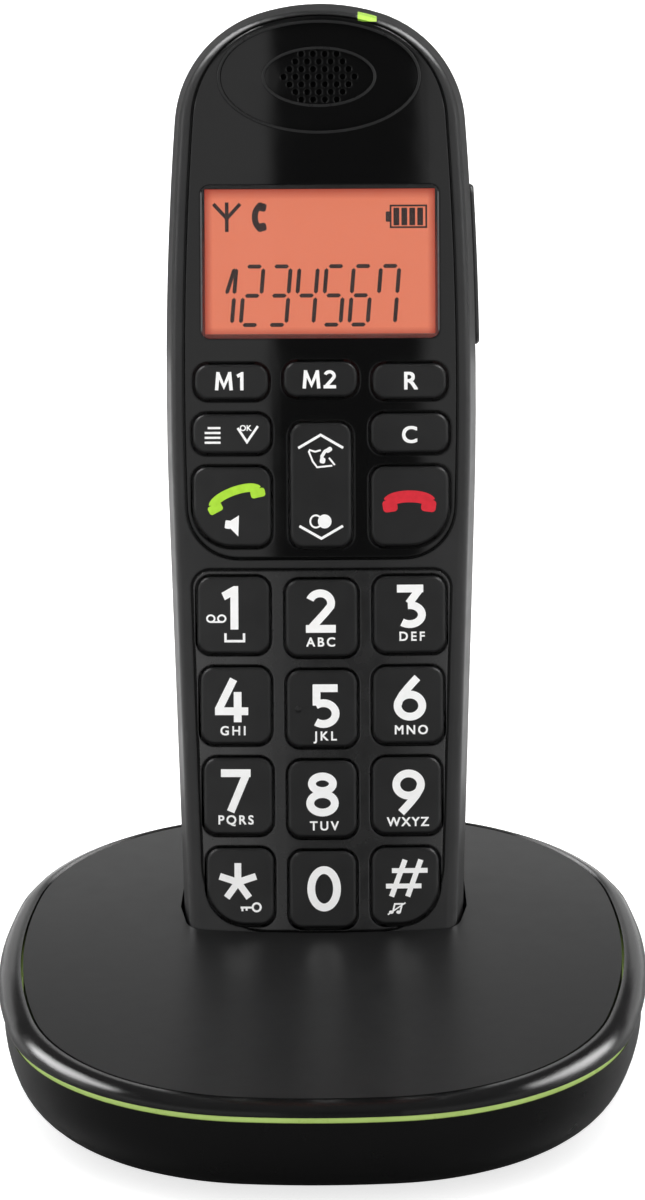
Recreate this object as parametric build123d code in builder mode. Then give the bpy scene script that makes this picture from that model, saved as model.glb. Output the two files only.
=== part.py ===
"""Big-button cordless phone standing in its charging base.

Millimetres, +Z up, front towards -Y, origin on the table under the middle of the whole box.
The base is drawn round its own middle, and in_frame moves every piece into the object's frame.
Handset pieces are drawn in the handset's own frame, with X across it, Y up its length from
the lower end and Z out of its face, and are set into the base by handset_seat at the end.
"""
import os
from math import asin, cos, degrees, radians, sin, tan

from build123d import *

# ---------------------------------------------------------------- handset: outer form
handset_width = 51.0
handset_depth = 25.0
widest_height = 98.0
side_radius = 600.0
waist_taper = 1.9            # degrees that each side leans in below the widest part
shoulder_drop = 9.5          # top of the handset to the start of its shoulders
shoulder_radius = 20.0
heel_radius = 8.5
heel_spare = 2.0             # drawn past the flat lower end, then cut off
parting_depth = 9.5          # face to the joint between front and rear housing
front_draft = 8.0
rear_draft = 3.0
crown_drop = 2.23            # middle of the face to its level at the widest part of the sides
front_edge_round = 2.0
back_edge_round = 7.0
seam_bevel = 0.3

# ---------------------------------------------------------------- handset: walls and layers
front_wall = 1.2             # behind the plates
plate_depth = 2.2            # crown of the face to the flat back of both plates
cavity_inset = 3.4
rear_wall = 2.2
rear_cavity_inset = 3.0
plate_groove = 0.3
plate_bevel = 0.25

# ---------------------------------------------------------------- handset: face plates
display_plate_inset = 3.1
display_plate_rise = 1.0
display_plate_corner = 8.5
keypad_plate_inset = 3.5
keypad_plate_margin = 1.1    # beyond the first and last row of number keys
plates_gap = 1.9
keypad_plate_top_corner = 3.0
keypad_plate_bottom_corner = 11.0
earpiece_gap = 8.5           # display window to the earpiece dish
crown_gap = 2.8              # earpiece dish to the top of the handset
dish_side_margin = 8.9       # earpiece dish to the widest part of the sides
dish_half_height = 9.2
dish_depth = 0.55
grille_side_margin = 7.4     # grille to the edge of the dish
grille_half_height = 4.75
grille_depth = 0.9
grille_hole = 0.95
grille_pitch = 1.94
grille_row_pitch = 1.25
grille_row_counts = (4, 5, 6, 7, 6, 5, 4)

# ---------------------------------------------------------------- display
display_gap = 4.25           # memory keys to the display window
lens_side_margin = 5.9       # display window to the widest part of the sides
lens_length = 25.2
lens_corner = 1.6
lens_ledge = 0.7
lcd_thickness = 1.6
lcd_margin = 1.1

# ---------------------------------------------------------------- keys
key_clearance = 0.45
key_proud = 0.35
key_travel = 0.9
key_corner = 2.2
key_sweep = 6.5              # large outer corner of the keys beside the plates' lower corners
key_bevel = 0.35
key_flange = 0.8
key_flange_thickness = 0.8
digit_row_bottom = 15.6
digit_row_pitch = 14.87
digit_side_margin = 5.15     # number keys to the widest part of the sides
digit_column_step = 0.3      # rows draw in towards the lower end
digit_key_gap = 2.65
digit_key_step = 0.28
digit_key_height = 12.6
middle_key_drop = 0.5
function_side_margin = 4.55  # call keys to the widest part of the sides
menu_memory_gap = 2.45
memory_key_gap = 2.6
memory_key_height = 5.7
middle_memory_rise = 0.4
call_menu_gap = 2.3
menu_key_height = 6.4
call_key_margin = 2.0        # lower end of the display plate to the call keys
call_key_gap = 3.25          # call keys to the rocker
call_key_height = 13.0
rocker_margin = 1.8          # lower end of the display plate to the rocker
rocker_gap = 4.3             # rocker to the memory key above it
rocker_width = 10.0

# ---------------------------------------------------------------- inside the handset
mat_gap = 0.2                # left under a key that is pressed home
mat_thickness = 1.0
board_thickness = 1.4
board_bottom = 9.0
board_drop = 26.0
board_side_gap = 0.5
mat_margin = 4.5             # past the middle of the memory keys
fulcrum_half_width = 1.0
post_diameter = 2.2
post_clearance = 0.3
speaker_thickness = 4.6
speaker_margin = 1.0
ringer_drop = 32.5
ringer_diameter = 22.0
ringer_thickness = 4.4
ringer_slot_length = 14.0
ringer_slot_width = 1.3
ringer_slot_pitch = 2.8
ringer_slots = 5
microphone_height = 5.0
microphone_thickness = 2.0
microphone_diameter = 4.0
microphone_hole = 1.2
shield_width = 24.0
shield_length = 20.0
shield_thickness = 2.4
shield_drop = 6.2            # below the middle of the display
antenna_width = 26.0
antenna_length = 4.0
antenna_thickness = 0.6
light_pipe_offset = 7.95
light_pipe_width = 3.1
light_pipe_length = 3.0
light_pipe_depth = 4.5

# ---------------------------------------------------------------- battery bay
cell_diameter = 10.5
cell_length = 44.5
cell_nub_diameter = 3.8
cell_nub_length = 1.0
cell_gap = 1.0
cell_clearance = 0.2
contact_room = 2.4           # for the spring or plate at each end of a cell
contact_thickness = 0.4
contact_margin = 1.0         # edge of a cell to the edge of its contact plate
bay_height = 62.0            # middle of the battery bay
bay_wall = 1.2
cover_side_margin = 9.2
cover_length = 58.0
cover_corner = 3.0
cover_thickness = 1.8
cover_clearance = 0.3
grip_count = 5
grip_pitch = 1.6
grip_depth = 0.4
grip_length = 12.0

# ---------------------------------------------------------------- volume key
volume_drop = 0.7            # below the middle of the display
volume_length = 26.4
volume_width = 4.6
volume_proud = 0.6
volume_depth = 13.4          # face to the middle of the volume key
volume_clearance = 0.35
volume_flange = 0.8
volume_bevel = 0.4

# ---------------------------------------------------------------- handset screws
lower_screw_place = (10.0, 5.2)
upper_screw_offset = 13.0
upper_screw_drop = 20.5
screw_shank = 2.0
screw_head = 4.0
screw_head_height = 1.6
screw_recess = 2.0
boss_diameter = 5.0
screw_bite = 3.0

# ---------------------------------------------------------------- base: outer form
base_half_width = 52.2
base_half_depth = 58.7
base_front_radius = 117.0
base_side_radius = 123.0
base_corner_radius = 42.0
foot_height = 1.2
shell_drop = 6.0             # top of the rim to the top of the lower housing
shell_bottom_round = 12.5
shell_wall = 2.4
shell_floor = 2.0
trim_height = 1.0
trim_inset = 0.2
trim_width = 6.0
rim_bulge = 0.9
# Section of the rim from foot to top: share of its rise, and how far out of the base's outline.
rim_profile = (
    (0, 0.1),
    (0.12, 0.7),
    (0.3, rim_bulge),
    (0.52, 0.75),
    (0.74, 0.2),
    (0.9, -0.75),
    (1, -2.2),
)
deck_height = 22.0
deck_slope = 3.0
deck_inset = 2.8             # bulge-free outline to the inner edge of the rim
deck_groove = 0.4
panel_skin = 2.2
panel_skirt = 2.0

# ---------------------------------------------------------------- cradle
handset_tilt = 18.0
seat_y = 6.8
seat_z = 14.7
cradle_clearance = 0.5
cradle_wall = 1.6
cradle_entry = 15.0          # height on the handset where its back leaves the cradle
cradle_corner = 3.0
charge_spacing = 24.0
charge_pad_width = 5.0
charge_pad_depth = 3.2
charge_pad_place = 6.0       # behind the face
charge_pad_thickness = 1.0

# ---------------------------------------------------------------- inside the base
base_board_thickness = 1.6
base_board_height = 4.5
board_post_diameter = 5.0
board_edge_gap = 0.8
board_post_places = ((22.0, -38.0), (36.0, 0.0), (22.0, 42.0))
cradle_slot_margin = 1.5
cradle_slot_length = 12.0
socket_width = 13.2
socket_length = 11.0
socket_top_gap = 0.3
socket_spacing = 26.0
socket_face = 55.0           # back of both sockets
socket_mouth_width = 9.7
socket_mouth_height = 6.6
socket_mouth_depth = 8.0
socket_clearance = 0.2
foot_diameter = 9.0
foot_places = (27.0, 31.0)
foot_recess = 0.4
base_screw_places = (33.0, 22.0)
base_boss_clearance = 0.5
page_button_width = 10.0
page_button_height = 4.4
page_button_end_inset = 0.3  # its end to the widest outline of the base
page_button_start = 46.0
base_screw_length = 6.0
base_screw_head = 0.8
charge_leg_drop = 3.0
charge_leg_thickness = 1.0

# ---------------------------------------------------------------- worked out
crown_radius = ((handset_width / 2) ** 2 + crown_drop**2) / (2 * crown_drop)
digit_key_width = (handset_width - 2 * digit_side_margin - 2 * digit_key_gap) / 3
digit_column = digit_key_width + digit_key_gap
post_column = (digit_column - digit_column_step) / 2
call_key_width = (handset_width - rocker_width) / 2 - function_side_margin - call_key_gap
function_column = (rocker_width + call_key_width) / 2 + call_key_gap
memory_key_width = function_column - memory_key_gap
lens_width = handset_width - 2 * lens_side_margin
dish_half_width = handset_width / 2 - dish_side_margin
grille_half_width = dish_half_width - grille_side_margin
cover_width = handset_width - 2 * cover_side_margin
digit_row_top = digit_row_bottom + 3 * digit_row_pitch
keypad_plate_bottom = digit_row_bottom - digit_key_height / 2 - keypad_plate_margin
keypad_plate_top = digit_row_top + digit_key_height / 2 + keypad_plate_margin
display_plate_bottom = keypad_plate_top + plates_gap
call_row = display_plate_bottom + call_key_margin + call_key_height / 2
menu_row = call_row + call_key_height / 2 + call_menu_gap + menu_key_height / 2
memory_row = menu_row + menu_key_height / 2 + menu_memory_gap + memory_key_height / 2
rocker_bottom = display_plate_bottom + rocker_margin
rocker_top = memory_row + middle_memory_rise - memory_key_height / 2 - rocker_gap
rocker_height = (rocker_bottom + rocker_top) / 2
rocker_length = rocker_top - rocker_bottom
display_height = memory_row + memory_key_height / 2 + display_gap + lens_length / 2
earpiece_height = display_height + lens_length / 2 + earpiece_gap + dish_half_height
handset_length = earpiece_height + dish_half_height + crown_gap
shoulder_height = handset_length - shoulder_drop
board_top = handset_length - board_drop
mat_top = memory_row + mat_margin
post_heights = (digit_row_bottom + digit_row_pitch / 2, digit_row_top - digit_row_pitch / 2)
ringer_height = handset_length - ringer_drop
shield_height = display_height - shield_drop
volume_height = display_height - volume_drop
case_screw_places = (lower_screw_place, (upper_screw_offset, handset_length - upper_screw_drop))
plate_back = -plate_depth
wall_back = -(plate_depth + front_wall)
key_back = wall_back - key_flange_thickness
mat_front = key_back - key_travel - mat_gap
board_front = mat_front - mat_thickness
board_back = board_front - board_thickness
rear_floor = -handset_depth + rear_wall
side_centre_x = handset_width / 2 - side_radius
shoulder_x = side_centre_x + (side_radius**2 - (shoulder_height - widest_height) ** 2) ** 0.5
crest_radius = (shoulder_x**2 + shoulder_drop**2) / (2 * shoulder_drop)
lean_start_height = widest_height - side_radius * sin(radians(waist_taper))
lean_start_x = side_centre_x + side_radius * cos(radians(waist_taper))
lean_rate = tan(radians(waist_taper))
cradle_half_width = lean_start_x - (lean_start_height - cradle_entry) * lean_rate
shell_top = deck_height - shell_drop
trim_top = shell_top + trim_height
handset_seat = Plane(
    origin=(0, seat_y, seat_z),
    x_dir=(1, 0, 0),
    z_dir=(0, -cos(radians(handset_tilt)), sin(radians(handset_tilt))),
)
deck_plane = Plane(
    origin=(0, 0, deck_height),
    x_dir=(1, 0, 0),
    z_dir=(0, -sin(radians(deck_slope)), cos(radians(deck_slope))),
)
page_button_length = base_half_depth - page_button_end_inset - page_button_start
cradle_low_y = (
    seat_y
    + (handset_depth + cradle_clearance + cradle_wall) * cos(radians(handset_tilt))
    - cradle_wall * sin(radians(handset_tilt))
)
charge_leg_y = seat_y + charge_pad_place * cos(radians(handset_tilt)) - charge_leg_drop * sin(
    radians(handset_tilt)
)
charge_leg_z = seat_z - charge_pad_place * sin(radians(handset_tilt)) - charge_leg_drop * cos(
    radians(handset_tilt)
) + charge_leg_thickness
box_front = -base_half_depth - rim_bulge
box_back = (
    seat_y
    + (handset_length - back_edge_round) * sin(radians(handset_tilt))
    + (handset_depth - back_edge_round) * cos(radians(handset_tilt))
    + back_edge_round
)
in_frame = Plane(origin=(0, -(box_front + box_back) / 2, 0))
cradle_floor = Plane(
    origin=(0, seat_y, seat_z),
    x_dir=(1, 0, 0),
    z_dir=(0, sin(radians(handset_tilt)), cos(radians(handset_tilt))),
)
pieces = []                  # (label, part) in the base's frame, exported at the end
handset_pieces = []          # (label, part) in the handset's frame


# ================================================================ outlines that pieces share
def circles_meet(centre, radius, other_centre, other_radius):
    """Where two circles meet, on the right of the way from the first centre to the other."""
    apart = (other_centre - centre).length
    along = (radius**2 - other_radius**2 + apart**2) / (2 * apart)
    across = (radius**2 - along**2) ** 0.5
    way = (other_centre - centre).normalized()
    return centre + way * along + Vector(way.Y, -way.X) * across


def handset_outline(inset=0, heel_round=heel_radius):
    """Outline of the handset seen on its face, drawn in by inset."""
    side_centre = Vector(side_centre_x, widest_height)
    top_centre = Vector(0, handset_length - crest_radius)
    shoulder = circles_meet(top_centre, crest_radius - inset, side_centre, side_radius - inset)
    shoulder = Vector(abs(shoulder.X), shoulder.Y)
    turn = degrees(asin((shoulder.Y - widest_height) / (side_radius - inset)))
    heel_y = inset - heel_spare
    with BuildSketch(mode=Mode.PRIVATE) as outline:
        with BuildLine():
            side = CenterArc(side_centre, side_radius - inset, -waist_taper, waist_taper + turn)
            heel_x = (side @ 0).X - ((side @ 0).Y - heel_y) * lean_rate
            Line(side @ 0, (heel_x, heel_y))
            mirror(about=Plane.YZ)
            ThreePointArc(side @ 1, (0, handset_length - inset), (-shoulder.X, shoulder.Y))
            Line((heel_x, heel_y), (-heel_x, heel_y))
        make_face()
        fillet(outline.vertices().group_by(Axis.Y)[-1], shoulder_radius - inset)
        if heel_round:
            fillet(outline.vertices().group_by(Axis.Y)[0], heel_round - inset)
    return outline.sketch


def below_crown(drop=0):
    """Everything under the curved face of the handset, drop below it."""
    with BuildPart(mode=Mode.PRIVATE) as body:
        with BuildSketch(Plane.XZ):
            with Locations((0, -crown_radius - drop)):
                Circle(crown_radius)
        extrude(amount=1.5 * handset_length, both=True)
    return body.part


def display_plate_outline(grow=0):
    """Glossy upper plate: follows the top of the handset and ends under the call keys."""
    drawn_in = handset_outline(display_plate_inset - grow)
    with BuildSketch(mode=Mode.PRIVATE) as outline:
        with Locations((0, display_plate_rise)):
            add(drawn_in)
        with Locations((0, display_plate_bottom - grow)):
            Rectangle(
                handset_width,
                handset_length,
                align=(Align.CENTER, Align.MIN),
                mode=Mode.INTERSECT,
            )
        fillet(outline.vertices().group_by(Axis.Y)[0], display_plate_corner + grow)
    return outline.sketch


def keypad_plate_outline(grow=0):
    """Plate round the number keys, with small upper and large lower corners."""
    with BuildSketch(mode=Mode.PRIVATE) as outline:
        add(handset_outline(keypad_plate_inset - grow))
        with Locations((0, keypad_plate_bottom - grow)):
            Rectangle(
                handset_width,
                keypad_plate_top - keypad_plate_bottom + 2 * grow,
                align=(Align.CENTER, Align.MIN),
                mode=Mode.INTERSECT,
            )
        fillet(outline.vertices().group_by(Axis.Y)[-1], keypad_plate_top_corner + grow)
        fillet(outline.vertices().group_by(Axis.Y)[0], keypad_plate_bottom_corner + grow)
    return outline.sketch


def layout_keys():
    """Place and size of each key as name: (x, y, width, height, swept side)."""
    places = {}
    rows = (("1", "2", "3"), ("4", "5", "6"), ("7", "8", "9"), ("star", "0", "hash"))
    for row, names in enumerate(rows):
        for side, name in zip((-1, 0, 1), names):
            drop = middle_key_drop if side == 0 else 0
            places[name] = (
                side * (digit_column - row * digit_column_step),
                digit_row_top - row * digit_row_pitch - drop,
                digit_key_width - row * digit_key_step,
                digit_key_height,
                side if row == len(rows) - 1 else 0,
            )
    for side, name in zip((-1, 0, 1), ("m1", "m2", "r")):
        rise = middle_memory_rise if side == 0 else 0
        places[name] = (
            side * function_column, memory_row + rise, memory_key_width, memory_key_height, 0
        )
    for side, name in ((-1, "menu"), (1, "clear")):
        places[name] = (side * function_column, menu_row, call_key_width, menu_key_height, 0)
    for side, name in ((-1, "talk"), (1, "end")):
        places[name] = (side * function_column, call_row, call_key_width, call_key_height, side)
    places["navigate"] = (0, rocker_height, rocker_width, rocker_length, 0)
    return places


keys = layout_keys()
plate_keys = ("m1", "m2", "r", "menu", "clear", "talk", "end", "navigate")
digit_keys = tuple(name for name in keys if name not in plate_keys)


def key_profile(name, grow=0):
    """Outline of one key, with its large outer corner where it has one."""
    x, y, width, height, swept = keys[name]
    with BuildSketch(mode=Mode.PRIVATE) as profile:
        with Locations((x, y)):
            Rectangle(width + 2 * grow, height + 2 * grow)
        if swept:
            corner = (x + swept * width / 2, y - height / 2)
            fillet(profile.vertices().sort_by_distance(corner)[0], key_sweep + grow)
            fillet(profile.vertices().sort_by_distance(corner)[2:], key_corner + grow)
        else:
            fillet(profile.vertices(), key_corner + grow)
    return profile.sketch


def base_outline(grow=0):
    """Rounded outline of the base: four flat arcs joined by round corners, let out by grow."""
    side = base_side_radius + grow
    end = base_front_radius + grow
    side_centre = Vector(base_half_width - base_side_radius, 0)
    end_centre = Vector(0, base_half_depth - base_front_radius)
    corner = circles_meet(end_centre, end, side_centre, side)
    half_width = base_half_width + grow
    half_depth = base_half_depth + grow
    with BuildSketch(mode=Mode.PRIVATE) as outline:
        with BuildLine():
            ThreePointArc((-corner.X, -corner.Y), (0, -half_depth), (corner.X, -corner.Y))
            ThreePointArc((corner.X, -corner.Y), (half_width, 0), (corner.X, corner.Y))
            ThreePointArc((corner.X, corner.Y), (0, half_depth), (-corner.X, corner.Y))
            ThreePointArc((-corner.X, corner.Y), (-half_width, 0), (-corner.X, -corner.Y))
        make_face()
        fillet(outline.vertices(), base_corner_radius + grow)
    return outline.sketch


def heel_section(grow):
    """Section of the handset where it stands in the cradle, X across and Y from face to back."""
    face_half = cradle_half_width - parting_depth * tan(radians(front_draft))
    back_half = cradle_half_width - (handset_depth - parting_depth) * tan(radians(rear_draft))
    face_edge = crown_radius - (crown_radius**2 - face_half**2) ** 0.5
    with BuildSketch(mode=Mode.PRIVATE) as section:
        with BuildLine():
            ThreePointArc((-face_half, face_edge), (0, 0), (face_half, face_edge))
            Polyline(
                (face_half, face_edge),
                (cradle_half_width, parting_depth),
                (back_half, handset_depth),
                (-back_half, handset_depth),
                (-cradle_half_width, parting_depth),
                (-face_half, face_edge),
            )
        make_face()
        fillet(section.vertices().group_by(Axis.Y)[-1], back_edge_round)
        fillet(section.vertices().group_by(Axis.Y)[0], cradle_corner)
        offset(amount=grow)
    return section.sketch


# ================================================================ handset housings
def housing_blank(height, draft):
    """Tapered block from the parting plane, with the flat lower end that stands in the cradle."""
    with BuildPart(mode=Mode.PRIVATE) as blank:
        with BuildSketch(Plane.XY.offset(-parting_depth)):
            add(handset_outline(heel_round=0))
        with BuildSketch(Plane.XY.offset(height - parting_depth)):
            add(handset_outline(abs(height) * tan(radians(draft)), heel_round=0))
        loft(ruled=True)
        split(bisect_by=Plane.ZX, keep=Keep.TOP)
        lower_end = blank.faces().filter_by(Axis.Y).sort_by(Axis.Y)[0].edges()
        fillet((lower_end.sort_by(Axis.X)[0], lower_end.sort_by(Axis.X)[-1]), heel_radius)
    return blank.part


def front_blank():
    """Front half of the handset before anything is cut into it."""
    with BuildPart(mode=Mode.PRIVATE) as blank:
        add(housing_blank(parting_depth + 1, front_draft))
        add(below_crown(), mode=Mode.INTERSECT)
        fillet(blank.faces().sort_by(Axis.Z)[-1].edges(), front_edge_round)
        chamfer(blank.faces().sort_by(Axis.Z)[0].edges(), seam_bevel)
    return blank.part


def rear_blank():
    """Rear half of the handset before anything is cut into it."""
    with BuildPart(mode=Mode.PRIVATE) as blank:
        add(housing_blank(parting_depth - handset_depth, rear_draft))
        fillet(blank.faces().sort_by(Axis.Z)[0].edges(), back_edge_round)
        chamfer(blank.faces().sort_by(Axis.Z)[-1].edges(), seam_bevel)
    return blank.part


display_pocket = display_plate_outline(plate_groove)
keypad_pocket = keypad_plate_outline(plate_groove)
key_caps = {name: key_profile(name) for name in keys}
key_holes = {name: key_profile(name, key_clearance) for name in keys}


def light_pipe_slot():
    """Notch over the top edge of the handset that the light pipe fills."""
    with BuildPart(mode=Mode.PRIVATE) as slot:
        with BuildSketch(Plane.XY.offset(-light_pipe_depth)):
            with Locations((light_pipe_offset, handset_length)):
                Rectangle(light_pipe_width, 2 * light_pipe_length)
        extrude(amount=2 * light_pipe_depth)
    return slot.part


with BuildPart() as handset_front_housing:
    add(front_blank())
    with BuildSketch(Plane.XY.offset(-parting_depth)):
        add(handset_outline(cavity_inset))
    extrude(amount=parting_depth + wall_back, mode=Mode.SUBTRACT)
    with BuildSketch(Plane.XY.offset(plate_back)):
        add(display_pocket)
        add(keypad_pocket)
    extrude(amount=2 * plate_depth, mode=Mode.SUBTRACT)
    with BuildSketch(Plane.XY.offset(wall_back)):
        with Locations((0, earpiece_height)):
            Ellipse(grille_half_width, grille_half_height)
        with Locations((0, display_height)):
            Rectangle(lens_width - 2 * lens_ledge, lens_length - 2 * lens_ledge)
        for name in keys:
            add(key_holes[name])
        with Locations((0, microphone_height)):
            Circle(microphone_hole / 2)
    extrude(amount=front_wall + plate_depth, mode=Mode.SUBTRACT)
    with BuildSketch(Plane.XY.offset(wall_back)):
        for x, y in case_screw_places:
            with Locations((x, y), (-x, y)):
                Circle(boss_diameter / 2)
        for y in post_heights:
            with Locations((post_column, y), (-post_column, y)):
                Circle(post_diameter / 2)
    extrude(amount=board_front - wall_back)
    with BuildSketch(Plane.XY.offset(board_front)):
        for x, y in case_screw_places:
            with Locations((x, y), (-x, y)):
                Circle(boss_diameter / 2)
    extrude(amount=-parting_depth - board_front)
    with BuildSketch(Plane.XY.offset(-parting_depth)):
        for x, y in case_screw_places:
            with Locations((x, y), (-x, y)):
                Circle(screw_shank / 2)
    extrude(amount=screw_bite, mode=Mode.SUBTRACT)
    with BuildSketch(Plane.XZ):
        with Locations((charge_spacing / 2, -charge_pad_place), (-charge_spacing / 2, -charge_pad_place)):
            Rectangle(charge_pad_width, charge_pad_depth)
    extrude(amount=-charge_pad_thickness, mode=Mode.SUBTRACT)
    add(light_pipe_slot(), mode=Mode.SUBTRACT)
handset_pieces.append(("handset_front_housing", handset_front_housing.part))


with BuildPart() as light_pipe:
    add(front_blank())
    add(light_pipe_slot(), mode=Mode.INTERSECT)
    with BuildSketch(Plane.XY.offset(plate_back)):
        add(display_pocket)
    extrude(amount=2 * plate_depth, mode=Mode.SUBTRACT)
handset_pieces.append(("light_pipe", light_pipe.part))


with BuildPart() as handset_charging_contacts:
    with BuildSketch(Plane.XZ):
        with Locations((charge_spacing / 2, -charge_pad_place), (-charge_spacing / 2, -charge_pad_place)):
            Rectangle(charge_pad_width, charge_pad_depth)
    extrude(amount=-charge_pad_thickness)
handset_pieces.append(("handset_charging_contacts", handset_charging_contacts.part))


# ---------------------------------------------------------------- rear housing
cell_axis = -handset_depth + cover_thickness + cell_clearance + cell_diameter / 2
bay_front = cell_axis + cell_diameter / 2 + cell_clearance
bay_width = 2 * cell_diameter + cell_gap + 2 * cell_clearance
bay_length = cell_length + 2 * contact_room
contact_side = cell_diameter - 2 * contact_margin
volume_inner = handset_width / 2 - rear_cavity_inset - 2 * volume_flange
volume_top = -volume_depth + volume_width / 2

with BuildPart() as rear_cavity:
    with BuildSketch(Plane.XY.offset(rear_floor)):
        add(handset_outline(rear_cavity_inset))
    extrude(amount=-parting_depth - rear_floor)
    fillet(rear_cavity.faces().sort_by(Axis.Z)[0].edges(), back_edge_round - rear_wall)

with BuildPart() as handset_rear_housing:
    add(rear_blank())
    add(rear_cavity.part, mode=Mode.SUBTRACT)
    with BuildSketch(Plane.XY.offset(rear_floor)):
        with Locations((0, bay_height)):
            Rectangle(bay_width + 2 * bay_wall, bay_length + 2 * bay_wall)
    extrude(amount=bay_front + bay_wall - rear_floor)
    with BuildSketch(Plane.XY.offset(-handset_depth)):
        with Locations((0, bay_height)):
            Rectangle(bay_width, bay_length)
    extrude(amount=handset_depth + bay_front, mode=Mode.SUBTRACT)
    with BuildSketch(Plane.XY.offset(-handset_depth)):
        with Locations((0, bay_height)):
            RectangleRounded(
                cover_width + 2 * cover_clearance,
                cover_length + 2 * cover_clearance,
                cover_corner + cover_clearance,
            )
    extrude(amount=cover_thickness, mode=Mode.SUBTRACT)
    with BuildSketch(Plane.XY.offset(-handset_depth)):
        with Locations((0, ringer_height)):
            with GridLocations(0, ringer_slot_pitch, 1, ringer_slots):
                SlotOverall(ringer_slot_length, ringer_slot_width)
    extrude(amount=rear_wall, mode=Mode.SUBTRACT)
    with BuildSketch(Plane.XY.offset(rear_floor)):
        for x, y in case_screw_places:
            with Locations((x, y), (-x, y)):
                Circle(boss_diameter / 2)
    extrude(amount=-parting_depth - rear_floor)
    with BuildSketch(Plane.XY.offset(-handset_depth)):
        for x, y in case_screw_places:
            with Locations((x, y), (-x, y)):
                Circle(screw_shank / 2)
    extrude(amount=handset_depth - parting_depth, mode=Mode.SUBTRACT)
    with BuildSketch(Plane.XY.offset(-handset_depth)):
        for x, y in case_screw_places:
            with Locations((x, y), (-x, y)):
                Circle(screw_head / 2)
    extrude(amount=screw_recess + screw_head_height, mode=Mode.SUBTRACT)
    with BuildSketch(Plane.YZ.offset(volume_inner)):
        with Locations((volume_height, -volume_depth)):
            SlotOverall(volume_length + 2 * volume_clearance, volume_width + 2 * volume_clearance)
    extrude(amount=handset_width / 2, mode=Mode.SUBTRACT)
    with BuildSketch(Plane.XY.offset(rear_floor)):
        with BuildLine():
            Polyline(
                (volume_inner, volume_height),
                (volume_inner - 2 * fulcrum_half_width, volume_height + 1.5 * fulcrum_half_width),
                (volume_inner - 2 * fulcrum_half_width, volume_height - 1.5 * fulcrum_half_width),
                close=True,
            )
        make_face()
    extrude(amount=volume_top - rear_floor)
handset_pieces.append(("handset_rear_housing", handset_rear_housing.part))


with BuildPart() as handset_screws:
    for x, y in case_screw_places:
        with BuildSketch(Plane.XY.offset(-handset_depth + screw_recess)):
            with Locations((x, y), (-x, y)):
                Circle(screw_head / 2)
        extrude(amount=screw_head_height)
        with BuildSketch(Plane.XY.offset(-handset_depth + screw_recess)):
            with Locations((x, y), (-x, y)):
                Circle(screw_shank / 2)
        extrude(amount=handset_depth - screw_recess - parting_depth + screw_bite)
handset_pieces.append(("handset_screws", handset_screws.part))


with BuildPart() as battery_cover:
    with BuildSketch(Plane.XY.offset(-handset_depth)):
        with Locations((0, bay_height)):
            RectangleRounded(cover_width, cover_length, cover_corner)
    extrude(amount=cover_thickness)
    chamfer(battery_cover.faces().sort_by(Axis.Z)[0].edges(), seam_bevel)
    grip_height = bay_height + cover_length / 2 - (grip_count + 1) * grip_pitch
    with BuildSketch(Plane.XY.offset(-handset_depth)):
        with Locations((0, grip_height)):
            with GridLocations(0, grip_pitch, 1, grip_count):
                Rectangle(grip_length, grip_pitch / 2)
    extrude(amount=grip_depth, mode=Mode.SUBTRACT)
handset_pieces.append(("battery_cover", battery_cover.part))


with BuildPart() as battery_cells:
    for side in (-1, 1):
        x = side * (cell_diameter + cell_gap) / 2
        start = bay_height - side * cell_length / 2
        with BuildSketch(Plane.XZ.offset(-start)):
            with Locations((x, cell_axis)):
                Circle(cell_diameter / 2)
        extrude(amount=-side * (cell_length - cell_nub_length))
        with BuildSketch(Plane.XZ.offset(-start)):
            with Locations((x, cell_axis)):
                Circle(cell_nub_diameter / 2)
        extrude(amount=-side * cell_length)
handset_pieces.append(("battery_cells", battery_cells.part))


with BuildPart() as battery_contacts:
    for end in (-1, 1):
        wall = bay_height + end * bay_length / 2
        with BuildSketch(Plane.XZ.offset(-wall)):
            with GridLocations(cell_diameter + cell_gap, 0, 2, 1):
                with Locations((0, cell_axis)):
                    Rectangle(contact_side, contact_side)
        extrude(amount=end * contact_thickness)
        with BuildSketch(Plane.XZ.offset(-wall)):
            with GridLocations(cell_diameter + cell_gap, 0, 2, 1):
                with Locations((0, cell_axis)):
                    Circle(cell_nub_diameter / 2)
        extrude(amount=end * contact_room)
handset_pieces.append(("battery_contacts", battery_contacts.part))


with BuildPart() as volume_rocker:
    with BuildSketch(Plane.YZ.offset(volume_inner)):
        with Locations((volume_height, -volume_depth)):
            SlotOverall(volume_length, volume_width)
    extrude(amount=handset_width / 2)
    with BuildSketch(Plane.XY.offset(-handset_depth)):
        add(handset_outline(-volume_proud))
    extrude(amount=handset_depth, mode=Mode.INTERSECT)
    chamfer(volume_rocker.faces().sort_by(Axis.X)[-1].edges(), volume_bevel)
handset_pieces.append(("volume_rocker", volume_rocker.part))


# ---------------------------------------------------------------- face plates and display
with BuildPart() as dish:
    with BuildSketch(Plane.XY.offset(plate_back)):
        with Locations((0, earpiece_height)):
            Ellipse(dish_half_width, dish_half_height)
    extrude(amount=2 * plate_depth)
    add(below_crown(dish_depth), mode=Mode.SUBTRACT)

with BuildPart() as grille:
    with BuildSketch(Plane.XY.offset(plate_back)):
        with Locations((0, earpiece_height)):
            Ellipse(grille_half_width, grille_half_height)
    extrude(amount=2 * plate_depth)
    add(below_crown(grille_depth), mode=Mode.SUBTRACT)

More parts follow.
